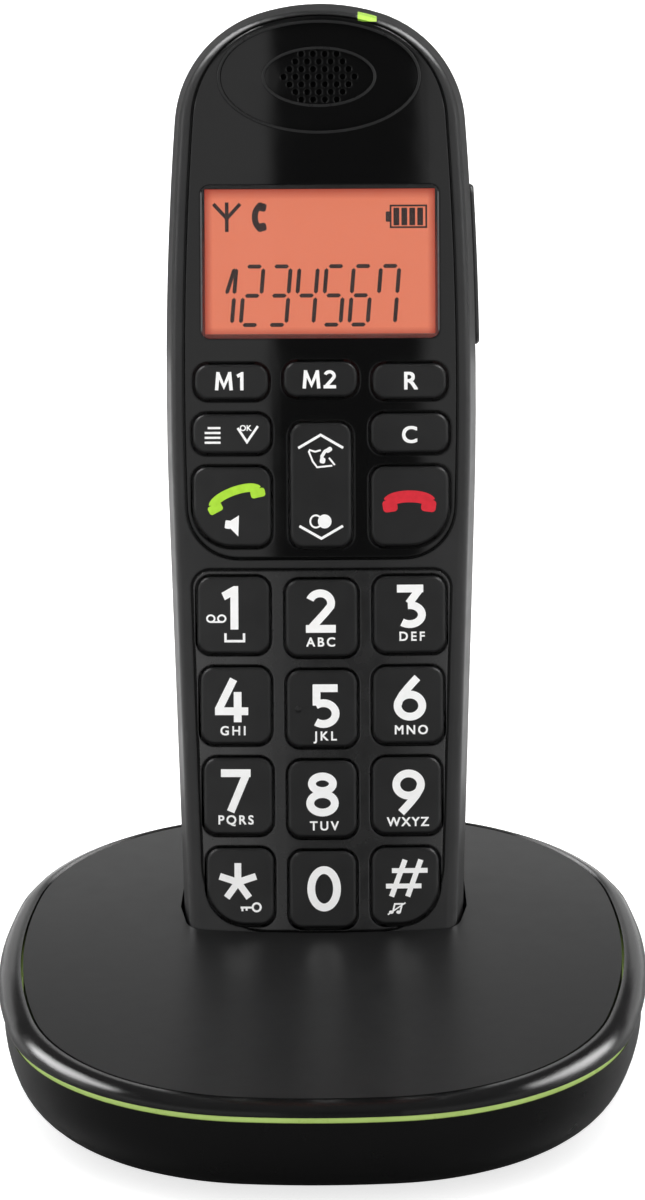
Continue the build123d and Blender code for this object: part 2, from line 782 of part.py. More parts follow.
display_face = display_plate_outline()
with BuildPart() as display_plate:
    with BuildSketch(Plane.XY.offset(plate_back)):
        add(display_face)
    extrude(amount=2 * plate_depth)
    add(below_crown(), mode=Mode.INTERSECT)
    chamfer(display_plate.faces().sort_by(Axis.Z)[-1].edges(), plate_bevel)
    add(dish.part, mode=Mode.SUBTRACT)
    add(grille.part, mode=Mode.SUBTRACT)
    with BuildSketch(Plane.XY.offset(plate_back)):
        with Locations((0, display_height)):
            RectangleRounded(lens_width, lens_length, lens_corner)
        for name in plate_keys:
            add(key_holes[name])
        for row, count in enumerate(grille_row_counts):
            level = row - (len(grille_row_counts) - 1) / 2
            with Locations((0, earpiece_height + level * grille_row_pitch)):
                with GridLocations(grille_pitch, 0, count, 1):
                    Circle(grille_hole / 2)
    extrude(amount=2 * plate_depth, mode=Mode.SUBTRACT)
handset_pieces.append(("display_plate", display_plate.part))


keypad_face = keypad_plate_outline()
with BuildPart() as keypad_plate:
    with BuildSketch(Plane.XY.offset(plate_back)):
        add(keypad_face)
    extrude(amount=2 * plate_depth)
    add(below_crown(), mode=Mode.INTERSECT)
    chamfer(keypad_plate.faces().sort_by(Axis.Z)[-1].edges(), plate_bevel)
    with BuildSketch(Plane.XY.offset(plate_back)):
        for name in digit_keys:
            add(key_holes[name])
    extrude(amount=2 * plate_depth, mode=Mode.SUBTRACT)
handset_pieces.append(("keypad_plate", keypad_plate.part))


with BuildPart() as display_lens:
    with BuildSketch(Plane.XY.offset(plate_back)):
        with Locations((0, display_height)):
            RectangleRounded(lens_width, lens_length, lens_corner)
    extrude(amount=2 * plate_depth)
    add(below_crown(), mode=Mode.INTERSECT)
handset_pieces.append(("display_lens", display_lens.part))


lcd_width = lens_width - 2 * lens_ledge + 2 * lcd_margin
lcd_length = lens_length - 2 * lens_ledge + 2 * lcd_margin
with BuildPart() as lcd_panel:
    with BuildSketch(Plane.XY.offset(wall_back)):
        with Locations((0, display_height)):
            Rectangle(lcd_width, lcd_length)
    extrude(amount=-lcd_thickness)
handset_pieces.append(("lcd_panel", lcd_panel.part))


with BuildPart() as lcd_backlight:
    with BuildSketch(Plane.XY.offset(board_front)):
        with Locations((0, display_height)):
            Rectangle(lcd_width, lcd_length)
    extrude(amount=wall_back - lcd_thickness - board_front)
handset_pieces.append(("lcd_backlight", lcd_backlight.part))


# ---------------------------------------------------------------- boards and transducers
def board_outline(low, high):
    """Part of the front housing's cavity between two heights, clear of its walls."""
    with BuildSketch(mode=Mode.PRIVATE) as outline:
        add(handset_outline(cavity_inset + board_side_gap))
        with Locations((0, low)):
            Rectangle(
                handset_width, high - low, align=(Align.CENTER, Align.MIN), mode=Mode.INTERSECT
            )
    return outline.sketch


board_face = board_outline(board_bottom, board_top)
with BuildPart() as handset_circuit_board:
    with BuildSketch(Plane.XY.offset(board_back)):
        add(board_face)
    extrude(amount=board_thickness)
handset_pieces.append(("handset_circuit_board", handset_circuit_board.part))


mat_face = board_outline(board_bottom, mat_top)
with BuildPart() as keypad_mat:
    with BuildSketch(Plane.XY.offset(board_front)):
        add(mat_face)
        for y in post_heights:
            with Locations((post_column, y), (-post_column, y)):
                Circle(post_diameter / 2 + post_clearance, mode=Mode.SUBTRACT)
    extrude(amount=mat_thickness)
    with BuildSketch(Plane.YZ.offset(-rocker_width / 2)):
        with BuildLine():
            Polyline(
                (rocker_height, key_back),
                (rocker_height + fulcrum_half_width, mat_front),
                (rocker_height - fulcrum_half_width, mat_front),
                close=True,
            )
        make_face()
    extrude(amount=rocker_width)
handset_pieces.append(("keypad_mat", keypad_mat.part))


with BuildPart() as radio_shield:
    with BuildSketch(Plane.XY.offset(board_back)):
        with Locations((0, shield_height)):
            Rectangle(shield_width, shield_length)
    extrude(amount=-shield_thickness)
handset_pieces.append(("radio_shield", radio_shield.part))


with BuildPart() as antenna:
    with BuildSketch(Plane.XY.offset(board_back)):
        with Locations((0, board_top - antenna_length)):
            Rectangle(antenna_width, antenna_length)
    extrude(amount=-antenna_thickness)
handset_pieces.append(("antenna", antenna.part))


with BuildPart() as earpiece_speaker:
    with BuildSketch(Plane.XY.offset(wall_back)):
        with Locations((0, earpiece_height)):
            Ellipse(grille_half_width + speaker_margin, grille_half_height + speaker_margin)
    extrude(amount=-speaker_thickness)
handset_pieces.append(("earpiece_speaker", earpiece_speaker.part))


with BuildPart() as ringer_speaker:
    with BuildSketch(Plane.XY.offset(rear_floor)):
        with Locations((0, ringer_height)):
            Circle(ringer_diameter / 2)
    extrude(amount=ringer_thickness)
handset_pieces.append(("ringer_speaker", ringer_speaker.part))


with BuildPart() as microphone:
    with BuildSketch(Plane.XY.offset(wall_back)):
        with Locations((0, microphone_height)):
            Circle(microphone_diameter / 2)
    extrude(amount=-microphone_thickness)
handset_pieces.append(("microphone", microphone.part))


# ---------------------------------------------------------------- keys
def make_key(name):
    """One key: a crowned cap through the plate, held under the housing by a flange at each end."""
    x, y, width, height, swept = keys[name]
    with BuildPart(mode=Mode.PRIVATE) as key:
        with BuildSketch(Plane.XY.offset(key_back)):
            add(key_caps[name])
        extrude(amount=2 * plate_depth - key_back)
        add(below_crown(-key_proud), mode=Mode.INTERSECT)
        chamfer(key.faces().sort_by(Axis.Z)[-1].edges(), key_bevel)
        if name != "navigate":
            with BuildSketch(Plane.XY.offset(key_back)):
                with Locations((x, y)):
                    Rectangle(width - 2 * key_corner, height + 2 * key_flange)
            extrude(amount=key_flange_thickness)
    return key.part


for name in keys:
    handset_pieces.append(("key_" + name, make_key(name)))


# ================================================================ base
def below_deck(drop=0):
    """Everything under the sloping deck of the base, drop below it."""
    with BuildPart(mode=Mode.PRIVATE) as body:
        with BuildSketch(deck_plane.offset(-drop)):
            Rectangle(4 * base_half_width, 4 * base_half_depth)
        extrude(amount=-2 * base_half_depth)
    return body.part


base_face = base_outline()
shell_inner = base_outline(-shell_wall)
trim_outer = base_outline(-trim_inset)
trim_inner = base_outline(-trim_inset - trim_width)
rim_inner = base_outline(-deck_inset)
panel_outer = base_outline(-deck_inset - deck_groove)
panel_inner = base_outline(-deck_inset - deck_groove - panel_skirt)
well_section = heel_section(cradle_clearance)
cup_section = heel_section(cradle_clearance + cradle_wall)
shell_floor_top = foot_height + shell_floor
shell_inner_round = shell_bottom_round - shell_wall
board_lift = base_board_height - shell_floor_top
board_wall_inset = shell_inner_round - (shell_inner_round**2 - (shell_inner_round - board_lift) ** 2) ** 0.5
base_board_face = base_outline(-shell_wall - board_wall_inset - board_edge_gap)
cradle_slot_width = 2 * (cradle_half_width + cradle_clearance + cradle_wall + cradle_slot_margin)
base_board_top = base_board_height + base_board_thickness
socket_body_height = shell_top - socket_top_gap - base_board_top
base_screw_grid = (2 * base_screw_places[0], 2 * base_screw_places[1])


with BuildPart() as shell_cavity:
    with BuildSketch(Plane.XY.offset(shell_floor_top)):
        add(shell_inner)
    extrude(amount=shell_top - shell_floor_top)
    fillet(shell_cavity.faces().sort_by(Axis.Z)[0].edges(), shell_bottom_round - shell_wall)

with BuildPart() as base_lower_housing:
    with BuildSketch(Plane.XY.offset(foot_height)):
        add(base_face)
    extrude(amount=shell_top - foot_height)
    fillet(base_lower_housing.faces().sort_by(Axis.Z)[0].edges(), shell_bottom_round)
    add(shell_cavity.part, mode=Mode.SUBTRACT)
    with BuildSketch(Plane.XY.offset(shell_floor_top)):
        for x, y in board_post_places:
            with Locations((x, y), (-x, y)):
                Circle(board_post_diameter / 2)
    extrude(amount=base_board_height - shell_floor_top)
    with BuildSketch(Plane.XY.offset(foot_height)):
        with GridLocations(2 * foot_places[0], 2 * foot_places[1], 2, 2):
            Circle(foot_diameter / 2)
    extrude(amount=foot_recess, mode=Mode.SUBTRACT)
    with BuildSketch(Plane.XY.offset(foot_height)):
        with GridLocations(*base_screw_grid, 2, 2):
            Circle(screw_shank / 2)
    extrude(amount=shell_floor, mode=Mode.SUBTRACT)
    with BuildSketch(Plane.XY.offset(foot_height)):
        with GridLocations(*base_screw_grid, 2, 2):
            Circle(screw_head / 2)
    extrude(amount=base_screw_head, mode=Mode.SUBTRACT)
    with BuildSketch(Plane.XY.offset(base_board_top - socket_clearance)):
        with Locations((0, base_half_depth)):
            with GridLocations(socket_spacing, 0, 2, 1):
                Rectangle(socket_width + 2 * socket_clearance, 4 * shell_bottom_round)
    extrude(amount=shell_top, mode=Mode.SUBTRACT)
    with BuildSketch(Plane.XZ.offset(-page_button_start)):
        with Locations((0, base_board_top + page_button_height / 2)):
            Rectangle(page_button_width + 2 * cover_clearance, page_button_height + 2 * cover_clearance)
    extrude(amount=-base_half_depth, mode=Mode.SUBTRACT)
pieces.append(("base_lower_housing", base_lower_housing.part))


with BuildPart() as base_trim_ring:
    with BuildSketch(Plane.XY.offset(shell_top)):
        add(trim_outer)
        add(trim_inner, mode=Mode.SUBTRACT)
    extrude(amount=trim_height)
pieces.append(("base_trim_ring", base_trim_ring.part))


with BuildPart() as base_rim:
    for share, outset in rim_profile:
        lean = share * radians(deck_slope)
        level = Plane(
            origin=(0, 0, trim_top + share * (deck_height - trim_top)),
            x_dir=(1, 0, 0),
            z_dir=(0, -sin(lean), cos(lean)),
        )
        with BuildSketch(level):
            add(base_outline(outset))
    loft(ruled=True)
    with BuildSketch(Plane.XY.offset(trim_top)):
        add(rim_inner)
    extrude(amount=2 * deck_height, mode=Mode.SUBTRACT)
pieces.append(("base_rim", base_rim.part))


with BuildPart() as panel_hollow:
    with BuildSketch(Plane.XY.offset(trim_top)):
        add(panel_inner)
    extrude(amount=deck_height)
    add(below_deck(panel_skin), mode=Mode.INTERSECT)

with BuildPart() as base_top_panel:
    with BuildSketch(Plane.XY.offset(trim_top)):
        add(panel_outer)
    extrude(amount=deck_height)
    add(panel_hollow.part, mode=Mode.SUBTRACT)
    with BuildSketch(cradle_floor.offset(-cradle_wall)):
        add(cup_section)
    extrude(amount=2 * deck_height)
    with BuildSketch(Plane.XY.offset(shell_floor_top)):
        with GridLocations(*base_screw_grid, 2, 2):
            Circle(boss_diameter / 2)
    extrude(amount=deck_height)
    add(below_deck(), mode=Mode.INTERSECT)
    with BuildSketch(cradle_floor):
        add(well_section)
    extrude(amount=3 * deck_height, mode=Mode.SUBTRACT)
    with BuildSketch(cradle_floor.offset(-cradle_wall)):
        with Locations((charge_spacing / 2, charge_pad_place), (-charge_spacing / 2, charge_pad_place)):
            Rectangle(charge_pad_width / 2, charge_pad_depth)
    extrude(amount=cradle_wall, mode=Mode.SUBTRACT)
    with BuildSketch(Plane.XY.offset(shell_floor_top)):
        with GridLocations(*base_screw_grid, 2, 2):
            Circle(screw_shank / 2)
    extrude(amount=base_screw_length, mode=Mode.SUBTRACT)
pieces.append(("base_top_panel", base_top_panel.part))


with BuildPart() as base_circuit_board:
    with BuildSketch(Plane.XY.offset(base_board_height)):
        add(base_board_face)
        with Locations((0, cradle_low_y + cradle_slot_margin)):
            Rectangle(
                cradle_slot_width,
                cradle_slot_length,
                align=(Align.CENTER, Align.MAX),
                mode=Mode.SUBTRACT,
            )
        with GridLocations(*base_screw_grid, 2, 2):
            Circle(boss_diameter / 2 + base_boss_clearance, mode=Mode.SUBTRACT)
    extrude(amount=base_board_thickness)
pieces.append(("base_circuit_board", base_circuit_board.part))


with BuildPart() as base_charging_contacts:
    with BuildSketch(cradle_floor.offset(-charge_leg_drop)):
        with Locations((charge_spacing / 2, charge_pad_place), (-charge_spacing / 2, charge_pad_place)):
            Rectangle(charge_pad_width / 2, charge_pad_depth)
    extrude(amount=charge_leg_drop)
    with BuildSketch(Plane.XY.offset(base_board_top)):
        with Locations((charge_spacing / 2, charge_leg_y), (-charge_spacing / 2, charge_leg_y)):
            Rectangle(charge_pad_width / 2, charge_leg_thickness)
    extrude(amount=charge_leg_z - base_board_top)
pieces.append(("base_charging_contacts", base_charging_contacts.part))


def make_socket(side):
    """Modular inlet on the board, open towards the back of the base."""
    with BuildPart(mode=Mode.PRIVATE) as socket:
        with BuildSketch(Plane.XY.offset(base_board_top)):
            with Locations((side * socket_spacing / 2, socket_face - socket_length / 2)):
                Rectangle(socket_width, socket_length)
        extrude(amount=socket_body_height)
        with BuildSketch(Plane.XZ.offset(-socket_face)):
            with Locations((side * socket_spacing / 2, base_board_top + socket_body_height / 2)):
                Rectangle(socket_mouth_width, socket_mouth_height)
        extrude(amount=socket_mouth_depth, mode=Mode.SUBTRACT)
    return socket.part


pieces.append(("power_socket", make_socket(-1)))
pieces.append(("line_socket", make_socket(1)))


with BuildPart() as page_button:
    with BuildSketch(Plane.XY.offset(base_board_top)):
        with Locations((0, page_button_start)):
            Rectangle(
                page_button_width, page_button_length, align=(Align.CENTER, Align.MIN)
            )
    extrude(amount=page_button_height)
    chamfer(page_button.faces().sort_by(Axis.Y)[-1].edges(), key_bevel)
pieces.append(("page_button", page_button.part))


with BuildPart() as rubber_feet:
    with BuildSketch():
        with GridLocations(2 * foot_places[0], 2 * foot_places[1], 2, 2):
            Circle(foot_diameter / 2)
    extrude(amount=foot_height + foot_recess)
pieces.append(("rubber_feet", rubber_feet.part))


with BuildPart() as base_screws:
    with BuildSketch(Plane.XY.offset(foot_height)):
        with GridLocations(*base_screw_grid, 2, 2):
            Circle(screw_head / 2)
    extrude(amount=base_screw_head)
    with BuildSketch(Plane.XY.offset(foot_height)):
        with GridLocations(*base_screw_grid, 2, 2):
            Circle(screw_shank / 2)
    extrude(amount=shell_floor + base_screw_length)
pieces.append(("base_screws", base_screws.part))


# ================================================================ into place, and out to files
os.makedirs("parts", exist_ok=True)
for label, part in handset_pieces:
    pieces.append((label, handset_seat.from_local_coords(part)))
for label, part in pieces:
    placed = in_frame.from_local_coords(part)
    placed.label = label
    export_step(placed, f"parts/{label}.step")
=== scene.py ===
"""Looks of the cordless phone with base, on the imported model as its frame.

Handset pieces are drawn in the handset's own frame, in millimetres: X across, Y up its length
from the lower end, Z out of its face. The matrix HANDSET takes them into the shared frame.
"""

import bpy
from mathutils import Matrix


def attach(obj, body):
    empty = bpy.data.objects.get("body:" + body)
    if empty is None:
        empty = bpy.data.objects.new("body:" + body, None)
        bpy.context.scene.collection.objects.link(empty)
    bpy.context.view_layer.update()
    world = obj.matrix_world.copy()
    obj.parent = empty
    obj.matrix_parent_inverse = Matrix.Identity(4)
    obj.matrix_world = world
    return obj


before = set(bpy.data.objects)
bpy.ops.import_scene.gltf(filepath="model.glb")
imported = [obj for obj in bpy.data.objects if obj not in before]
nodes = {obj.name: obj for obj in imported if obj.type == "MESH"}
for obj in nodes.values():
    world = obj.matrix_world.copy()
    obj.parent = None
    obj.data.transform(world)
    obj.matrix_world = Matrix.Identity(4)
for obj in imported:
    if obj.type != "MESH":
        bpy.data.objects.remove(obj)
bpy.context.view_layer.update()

from math import cos, pi, radians, sin, sqrt

import bmesh
import bpy
from mathutils import Matrix, Vector

MM = 0.001
TILT = radians(18.0)         # the handset leans back from upright
SEAT = Vector((0.0, -2.578, 14.7)) * MM     # lower end of its face, in the cradle
HANDSET = Matrix.Translation(SEAT) @ Matrix.Rotation(pi / 2 - TILT, 4, "X") @ Matrix.Scale(MM, 4)
CROWN_RADIUS = 147.0         # of the face, across
KEY_PROUD = 0.35             # caps above the face
CAP_LEVEL = -2.5             # a key's flange lies below this, its cap above
EARPIECE = 148.51            # height of the earpiece's middle on the handset
DISPLAY = 118.21             # height of the display's middle
DISH_DEPTH = 0.55
LCD_LEVEL = -3.4             # front of the display panel, below the middle of the face
PRINT_LIFT = 0.02            # printed ink above the surface it is on
SEGMENT_LIFT = 0.03          # figures above the display panel
PRINT_STEP = 0.002           # between shapes of one print, so that none lie in the same plane
PRINT_LEVELS = 12            # after so many steps the levels start again
PRINT_CUT = 1.2              # prints are cut this often across, to follow the crowned face


# ================================================================ materials
class Finish:
    """A Principled material whose nodes are added one by one."""

    def __init__(self, name, color, roughness, **sockets):
        self.material = bpy.data.materials.new(name)
        self.material.use_nodes = True
        self.tree = self.material.node_tree
        self.shader = self.tree.nodes["Principled BSDF"]
        self.shader.inputs["Base Color"].default_value = (*color, 1)
        self.shader.inputs["Roughness"].default_value = roughness
        for socket, value in sockets.items():
            self.shader.inputs[socket.replace("_", " ")].default_value = value
        self.place = self.tree.nodes.new("ShaderNodeTexCoord").outputs["Object"]
        self.normal = None

    def node(self, kind, **settings):
        made = self.tree.nodes.new(kind)
        for key, value in settings.items():
            setattr(made, key, value)
        return made

    def link(self, start, end):
        self.tree.links.new(start, end)

    def noise(self, size, detail, stretch=(1, 1, 1)):
        """Noise with a grain of size metres, drawn out by stretch."""
        mapping = self.node("ShaderNodeMapping")
        mapping.inputs["Scale"].default_value = [1 / (size * s) for s in stretch]
        self.link(self.place, mapping.inputs["Vector"])
        noise = self.node("ShaderNodeTexNoise")
        noise.inputs["Scale"].default_value = 1.0
        noise.inputs["Detail"].default_value = detail
        self.link(mapping.outputs["Vector"], noise.inputs["Vector"])
        return noise.outputs["Fac"]

    def ramp(self, value, low, high, first=0.0, last=1.0):
        """value, mapped from low..high to first..last."""
        ranged = self.node("ShaderNodeMapRange")
        for socket, number in (("From Min", low), ("From Max", high), ("To Min", first), ("To Max", last)):
            ranged.inputs[socket].default_value = number
        self.link(value, ranged.inputs["Value"])
        return ranged.outputs["Result"]

    def vary_roughness(self, size, low, high):
        """Roughness from low to high in patches of size metres."""
        self.link(self.ramp(self.noise(size, 3.0), 0.3, 0.7, low, high), self.shader.inputs["Roughness"])
        return self

    def vary_color(self, size, first, second):
        """Colour from first to second in patches of size metres."""
        mix = self.node("ShaderNodeMix", data_type="RGBA")
        mix.inputs["A"].default_value = (*first, 1)
        mix.inputs["B"].default_value = (*second, 1)
        self.link(self.ramp(self.noise(size, 3.0), 0.35, 0.65), mix.inputs["Factor"])
        self.link(mix.outputs["Result"], self.shader.inputs["Base Color"])
        return self

    def soften(self, radius):
        """Rounds the look of edges over radius metres."""
        bevel = self.node("ShaderNodeBevel", samples=6)
        bevel.inputs["Radius"].default_value = radius
        self.normal = bevel.outputs["Normal"]
        self.link(self.normal, self.shader.inputs["Normal"])
        return self

    def bump(self, size, height, stretch=(1, 1, 1)):
        """Relief height metres deep with a grain of size metres, on top of any relief before it."""
        bump = self.node("ShaderNodeBump")
        bump.inputs["Strength"].default_value = 1.0
        bump.inputs["Distance"].default_value = height
        self.link(self.noise(size, 2.0, stretch), bump.inputs["Height"])
        if self.normal:
            self.link(self.normal, bump.inputs["Normal"])
        self.normal = bump.outputs["Normal"]
        self.link(self.normal, self.shader.inputs["Normal"])
        return self


def grey(value):
    return (value, value, value * 1.02)


finishes = {}


def finish(name, color, roughness, **sockets):
    finishes[name] = Finish(name, color, roughness, **sockets)
    return finishes[name]


(
    finish("shell", grey(0.016), 0.34)
    .soften(0.0004)
    .vary_roughness(0.004, 0.31, 0.38)
    .bump(0.00022, 0.0000022)
    .vary_color(0.012, grey(0.0145), grey(0.0185))
)
(
    finish("gloss", grey(0.0035), 0.07)
    .soften(0.0004)
    .vary_roughness(0.006, 0.05, 0.10)
    .bump(0.009, 0.000006)
)
(
    finish("keypad", grey(0.011), 0.26, Specular_IOR_Level=1.0)
    .soften(0.0003)
    .vary_roughness(0.003, 0.22, 0.30)
    .bump(0.0002, 0.0000012)
)
(
    finish("key", grey(0.012), 0.40)
    .soften(0.00045)
    .vary_roughness(0.0025, 0.36, 0.45)
    .bump(0.00018, 0.0000030)
    .vary_color(0.006, grey(0.0105), grey(0.0135))
)
# Painted highlight: the beads beside the display window are light grey so that they show as the window
# edge's bright lines.
finish("edge", grey(0.10), 0.25).vary_roughness(0.002, 0.20, 0.32)
# Partly painted highlight: the beads round the earpiece's dish catch light, and their grey is also lighter
# than the gloss around them so that they show as light lines.
finish("ring", grey(0.014), 0.30).vary_roughness(0.002, 0.26, 0.36)
(
    finish("base_gloss", grey(0.006), 0.12)
    .soften(0.0016)
    .vary_roughness(0.01, 0.10, 0.16)
    .bump(0.010, 0.000006)
)
(
    finish("base_satin", grey(0.009), 0.33)
    .vary_roughness(0.004, 0.31, 0.36)
    .bump(0.00025, 0.0000025)
)
(
    finish("base_lower", grey(0.002), 0.24, Specular_IOR_Level=0.3)
    .vary_roughness(0.006, 0.21, 0.28)
    .bump(0.00025, 0.000003)
)
# Lime trim with a painted glow: its emission brightens the ring beyond what the lamps give.
(
    finish("lime_painted_glow", (0.45, 0.62, 0.17), 0.30, Emission_Color=(0.40, 0.60, 0.12, 1), Emission_Strength=0.18)
    .vary_roughness(0.003, 0.26, 0.36)
    .bump(0.0006, 0.000004)
    .vary_color(0.008, (0.43, 0.59, 0.16), (0.48, 0.66, 0.19))
)
(
    finish("lamp", (0.45, 0.72, 0.10), 0.22, Emission_Color=(0.42, 0.75, 0.08, 1), Emission_Strength=0.25)
    .bump(0.0006, 0.000006)
    .vary_roughness(0.002, 0.16, 0.30)
)
# White ink with a faint painted glow: its emission brightens the printed legends beyond what the lamps
# give.
(
    finish("white_ink_painted_glow", (0.92, 0.92, 0.91), 0.45, Emission_Color=(1, 1, 1, 1), Emission_Strength=0.08)
    .vary_roughness(0.0015, 0.40, 0.55)
    .vary_color(0.001, (0.89, 0.89, 0.88), (0.94, 0.94, 0.93))
)
(
    finish("green_ink", (0.44, 0.80, 0.03), 0.45)
    .vary_roughness(0.0015, 0.40, 0.55)
    .vary_color(0.001, (0.42, 0.76, 0.03), (0.47, 0.84, 0.04))
)
(
    finish("red_ink", (0.72, 0.010, 0.028), 0.45)
    .vary_roughness(0.0015, 0.40, 0.55)
    .vary_color(0.001, (0.68, 0.009, 0.025), (0.76, 0.011, 0.031))
)
finish("segment", (0.028, 0.010, 0.008), 0.6).vary_roughness(0.001, 0.4, 0.6)
(
    finish("contact", (0.70, 0.58, 0.33), 0.25, Metallic=1.0)
    .vary_roughness(0.001, 0.20, 0.38)
    .bump(0.0008, 0.000004, stretch=(6, 1, 1))
)
(
    finish("steel", (0.42, 0.42, 0.43), 0.32, Metallic=1.0)
    .vary_roughness(0.001, 0.25, 0.42)
    .bump(0.0004, 0.000004)
)
finish("rubber", grey(0.012), 0.75).vary_roughness(0.002, 0.68, 0.85).bump(0.0004, 0.00002)
finish("mat", grey(0.20), 0.7).vary_roughness(0.002, 0.62, 0.78).bump(0.0004, 0.00001)
finish("socket", grey(0.006), 0.5).vary_roughness(0.002, 0.44, 0.58).bump(0.0003, 0.000006)
finish("board", (0.02, 0.12, 0.05), 0.4).vary_roughness(0.003, 0.35, 0.5).bump(0.0008, 0.00001)
finish("speaker", grey(0.010), 0.6).vary_roughness(0.002, 0.5, 0.7).bump(0.0005, 0.00001)
finish("cell", (0.05, 0.20, 0.09), 0.3).vary_roughness(0.004, 0.25, 0.38).bump(0.003, 0.00001)
(
    finish("white_plastic", (0.75, 0.75, 0.73), 0.5)
    .vary_roughness(0.004, 0.45, 0.58)
    .bump(0.0005, 0.000005)
)


def lcd_finish():
    """Orange backlit panel, darker red towards its edges where the frame shades it."""
    made = Finish("lcd", (0.06, 0.015, 0.008), 0.5)
    made.vary_roughness(0.002, 0.45, 0.6)
    split = made.node("ShaderNodeSeparateXYZ")
    made.link(made.node("ShaderNodeTexCoord").outputs["Generated"], split.inputs[0])
    shade = None
    for axis, low, high, width in (("Z", 0.03, 0.97, 0.075), ("X", 0.02, 0.98, 0.04)):
        for edge, inward in ((low, width), (high, -width)):
            part = made.ramp(split.outputs[axis], edge, edge + inward)
            if shade is None:
                shade = part
            else:
                product = made.node("ShaderNodeMath", operation="MULTIPLY")
                made.link(shade, product.inputs[0])
                made.link(part, product.inputs[1])
                shade = product.outputs[0]
    mix = made.node("ShaderNodeMix", data_type="RGBA")
    mix.inputs["A"].default_value = (0.30, 0.025, 0.015, 1)
    mix.inputs["B"].default_value = (0.72, 0.188, 0.102, 1)
    made.link(shade, mix.inputs["Factor"])
    made.link(mix.outputs["Result"], made.shader.inputs["Emission Color"])
    made.shader.inputs["Emission Strength"].default_value = 0.95
    finishes["lcd"] = made


def lens_finish():
    """Clear window: what is behind it shows through a faint gloss."""
    made = Finish("lens", (1, 1, 1), 0.03, Transmission_Weight=1.0, IOR=1.12)
    made.bump(0.012, 0.000002)
    made.vary_roughness(0.01, 0.02, 0.05)
    finishes["lens"] = made


lcd_finish()
lens_finish()

node_finish = {
    "shell": ("handset_front_housing", "handset_rear_housing", "battery_cover"),
    "gloss": ("display_plate",),
    "keypad": ("keypad_plate",),
    "key": ("volume_rocker", "page_button"),
    "lens": ("display_lens",),
    "lcd": ("lcd_panel",),
    "white_plastic": ("lcd_backlight",),
    "lamp": ("light_pipe",),
    "board": ("handset_circuit_board", "base_circuit_board"),
    "steel": ("radio_shield", "microphone", "handset_screws", "base_screws"),
    "contact": ("antenna", "battery_contacts", "handset_charging_contacts", "base_charging_contacts"),
    "speaker": ("earpiece_speaker", "ringer_speaker"),
    "mat": ("keypad_mat",),
    "cell": ("battery_cells",),
    "base_lower": ("base_lower_housing",),
    "lime_painted_glow": ("base_trim_ring",),
    "base_gloss": ("base_rim",),
    "base_satin": ("base_top_panel",),
    "socket": ("power_socket", "line_socket"),
    "rubber": ("rubber_feet",),
}
for node_name in nodes:
    if node_name.startswith("key_"):
        node_finish["key"] = (*node_finish["key"], node_name)
for finish_name, members in node_finish.items():
    for member in members:
        mesh = nodes[member].data
        mesh.materials.clear()
        mesh.materials.append(finishes[finish_name].material)


# ================================================================ drawing on the handset
def crown(x):
    """Height of the curved face at x."""
    return sqrt(CROWN_RADIUS**2 - x * x) - CROWN_RADIUS


def new_object(name, mesh, finish_name, body):
    """Takes a mesh drawn in the handset's frame into the shared frame and rides it on its body."""
    mesh.transform(HANDSET)
    mesh.materials.append(finishes[finish_name].material)
    made = bpy.data.objects.new(name, mesh)
    bpy.context.scene.collection.objects.link(made)
    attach(made, body)


def flat_mesh(name, polygons, lift, level=None):
    """Thin printed shapes: lists of (x, y), lift above the crowned face or the flat at level."""
    build = bmesh.new()
    for i, outline in enumerate(polygons):
        rise = PRINT_STEP * (i % PRINT_LEVELS)
        build.faces.new([build.verts.new((x, y, rise)) for x, y in outline])
    if level is None:
        low = min(v.co.x for v in build.verts)
        high = max(v.co.x for v in build.verts)
        for i in range(1, int((high - low) / PRINT_CUT) + 1):
            bmesh.ops.bisect_plane(
                build,
                geom=[*build.verts, *build.edges, *build.faces],
                plane_co=(low + i * PRINT_CUT, 0, 0),
                plane_no=(1, 0, 0),
            )
    for vert in build.verts:
        vert.co.z += lift + (crown(vert.co.x) if level is None else level)
    bmesh.ops.triangulate(build, faces=build.faces)
    build.normal_update()
    for face in build.faces:
        if face.normal.z < 0:
            face.normal_flip()
    mesh = bpy.data.meshes.new(name)
    build.to_mesh(mesh)
    build.free()
    return mesh


def ribbon(points, width, closed=False):
    """Quads of a line of the given width with mitred bends and square ends."""
    points = [Vector(p) for p in points]
    count = len(points)
    edges = []
    for i, point in enumerate(points):
        before = points[i - 1] if i or closed else None
        after = points[(i + 1) % count] if i < count - 1 or closed else None
        ways = []
        if before is not None:
            ways.append((point - before).normalized())
        if after is not None:
            ways.append((after - point).normalized())
        normals = [Vector((-w.y, w.x)) for w in ways]
        middle = sum(normals, Vector((0, 0))).normalized()
        reach = width / 2 / max(middle.dot(normals[0]), 0.5)
        edges.append((point + middle * reach, point - middle * reach))
    quads = []
    for i in range(count if closed else count - 1):
        (left, right), (next_left, next_right) = edges[i], edges[(i + 1) % count]
        quads.append([tuple(left), tuple(right), tuple(next_right), tuple(next_left)])
    return quads


RING_STEPS = 40
DISC_STEPS = 28
CORNER_STEPS = 5
LETTER_STEPS = 5


def arc(cx, cy, rx, ry, start, end, steps=20):
    """Points on an ellipse from start to end, in degrees."""
    turns = [radians(start + (end - start) * i / steps) for i in range(steps + 1)]
    return [(cx + rx * cos(t), cy + ry * sin(t)) for t in turns]


def ring(cx, cy, rx, ry, width):
    """Closed elliptical line."""
    return ribbon(arc(cx, cy, rx, ry, 0, 360, RING_STEPS)[:-1], width, closed=True)


def disc(cx, cy, rx, ry):
    """Filled ellipse."""
    return [arc(cx, cy, rx, ry, 0, 360, DISC_STEPS)[:-1]]


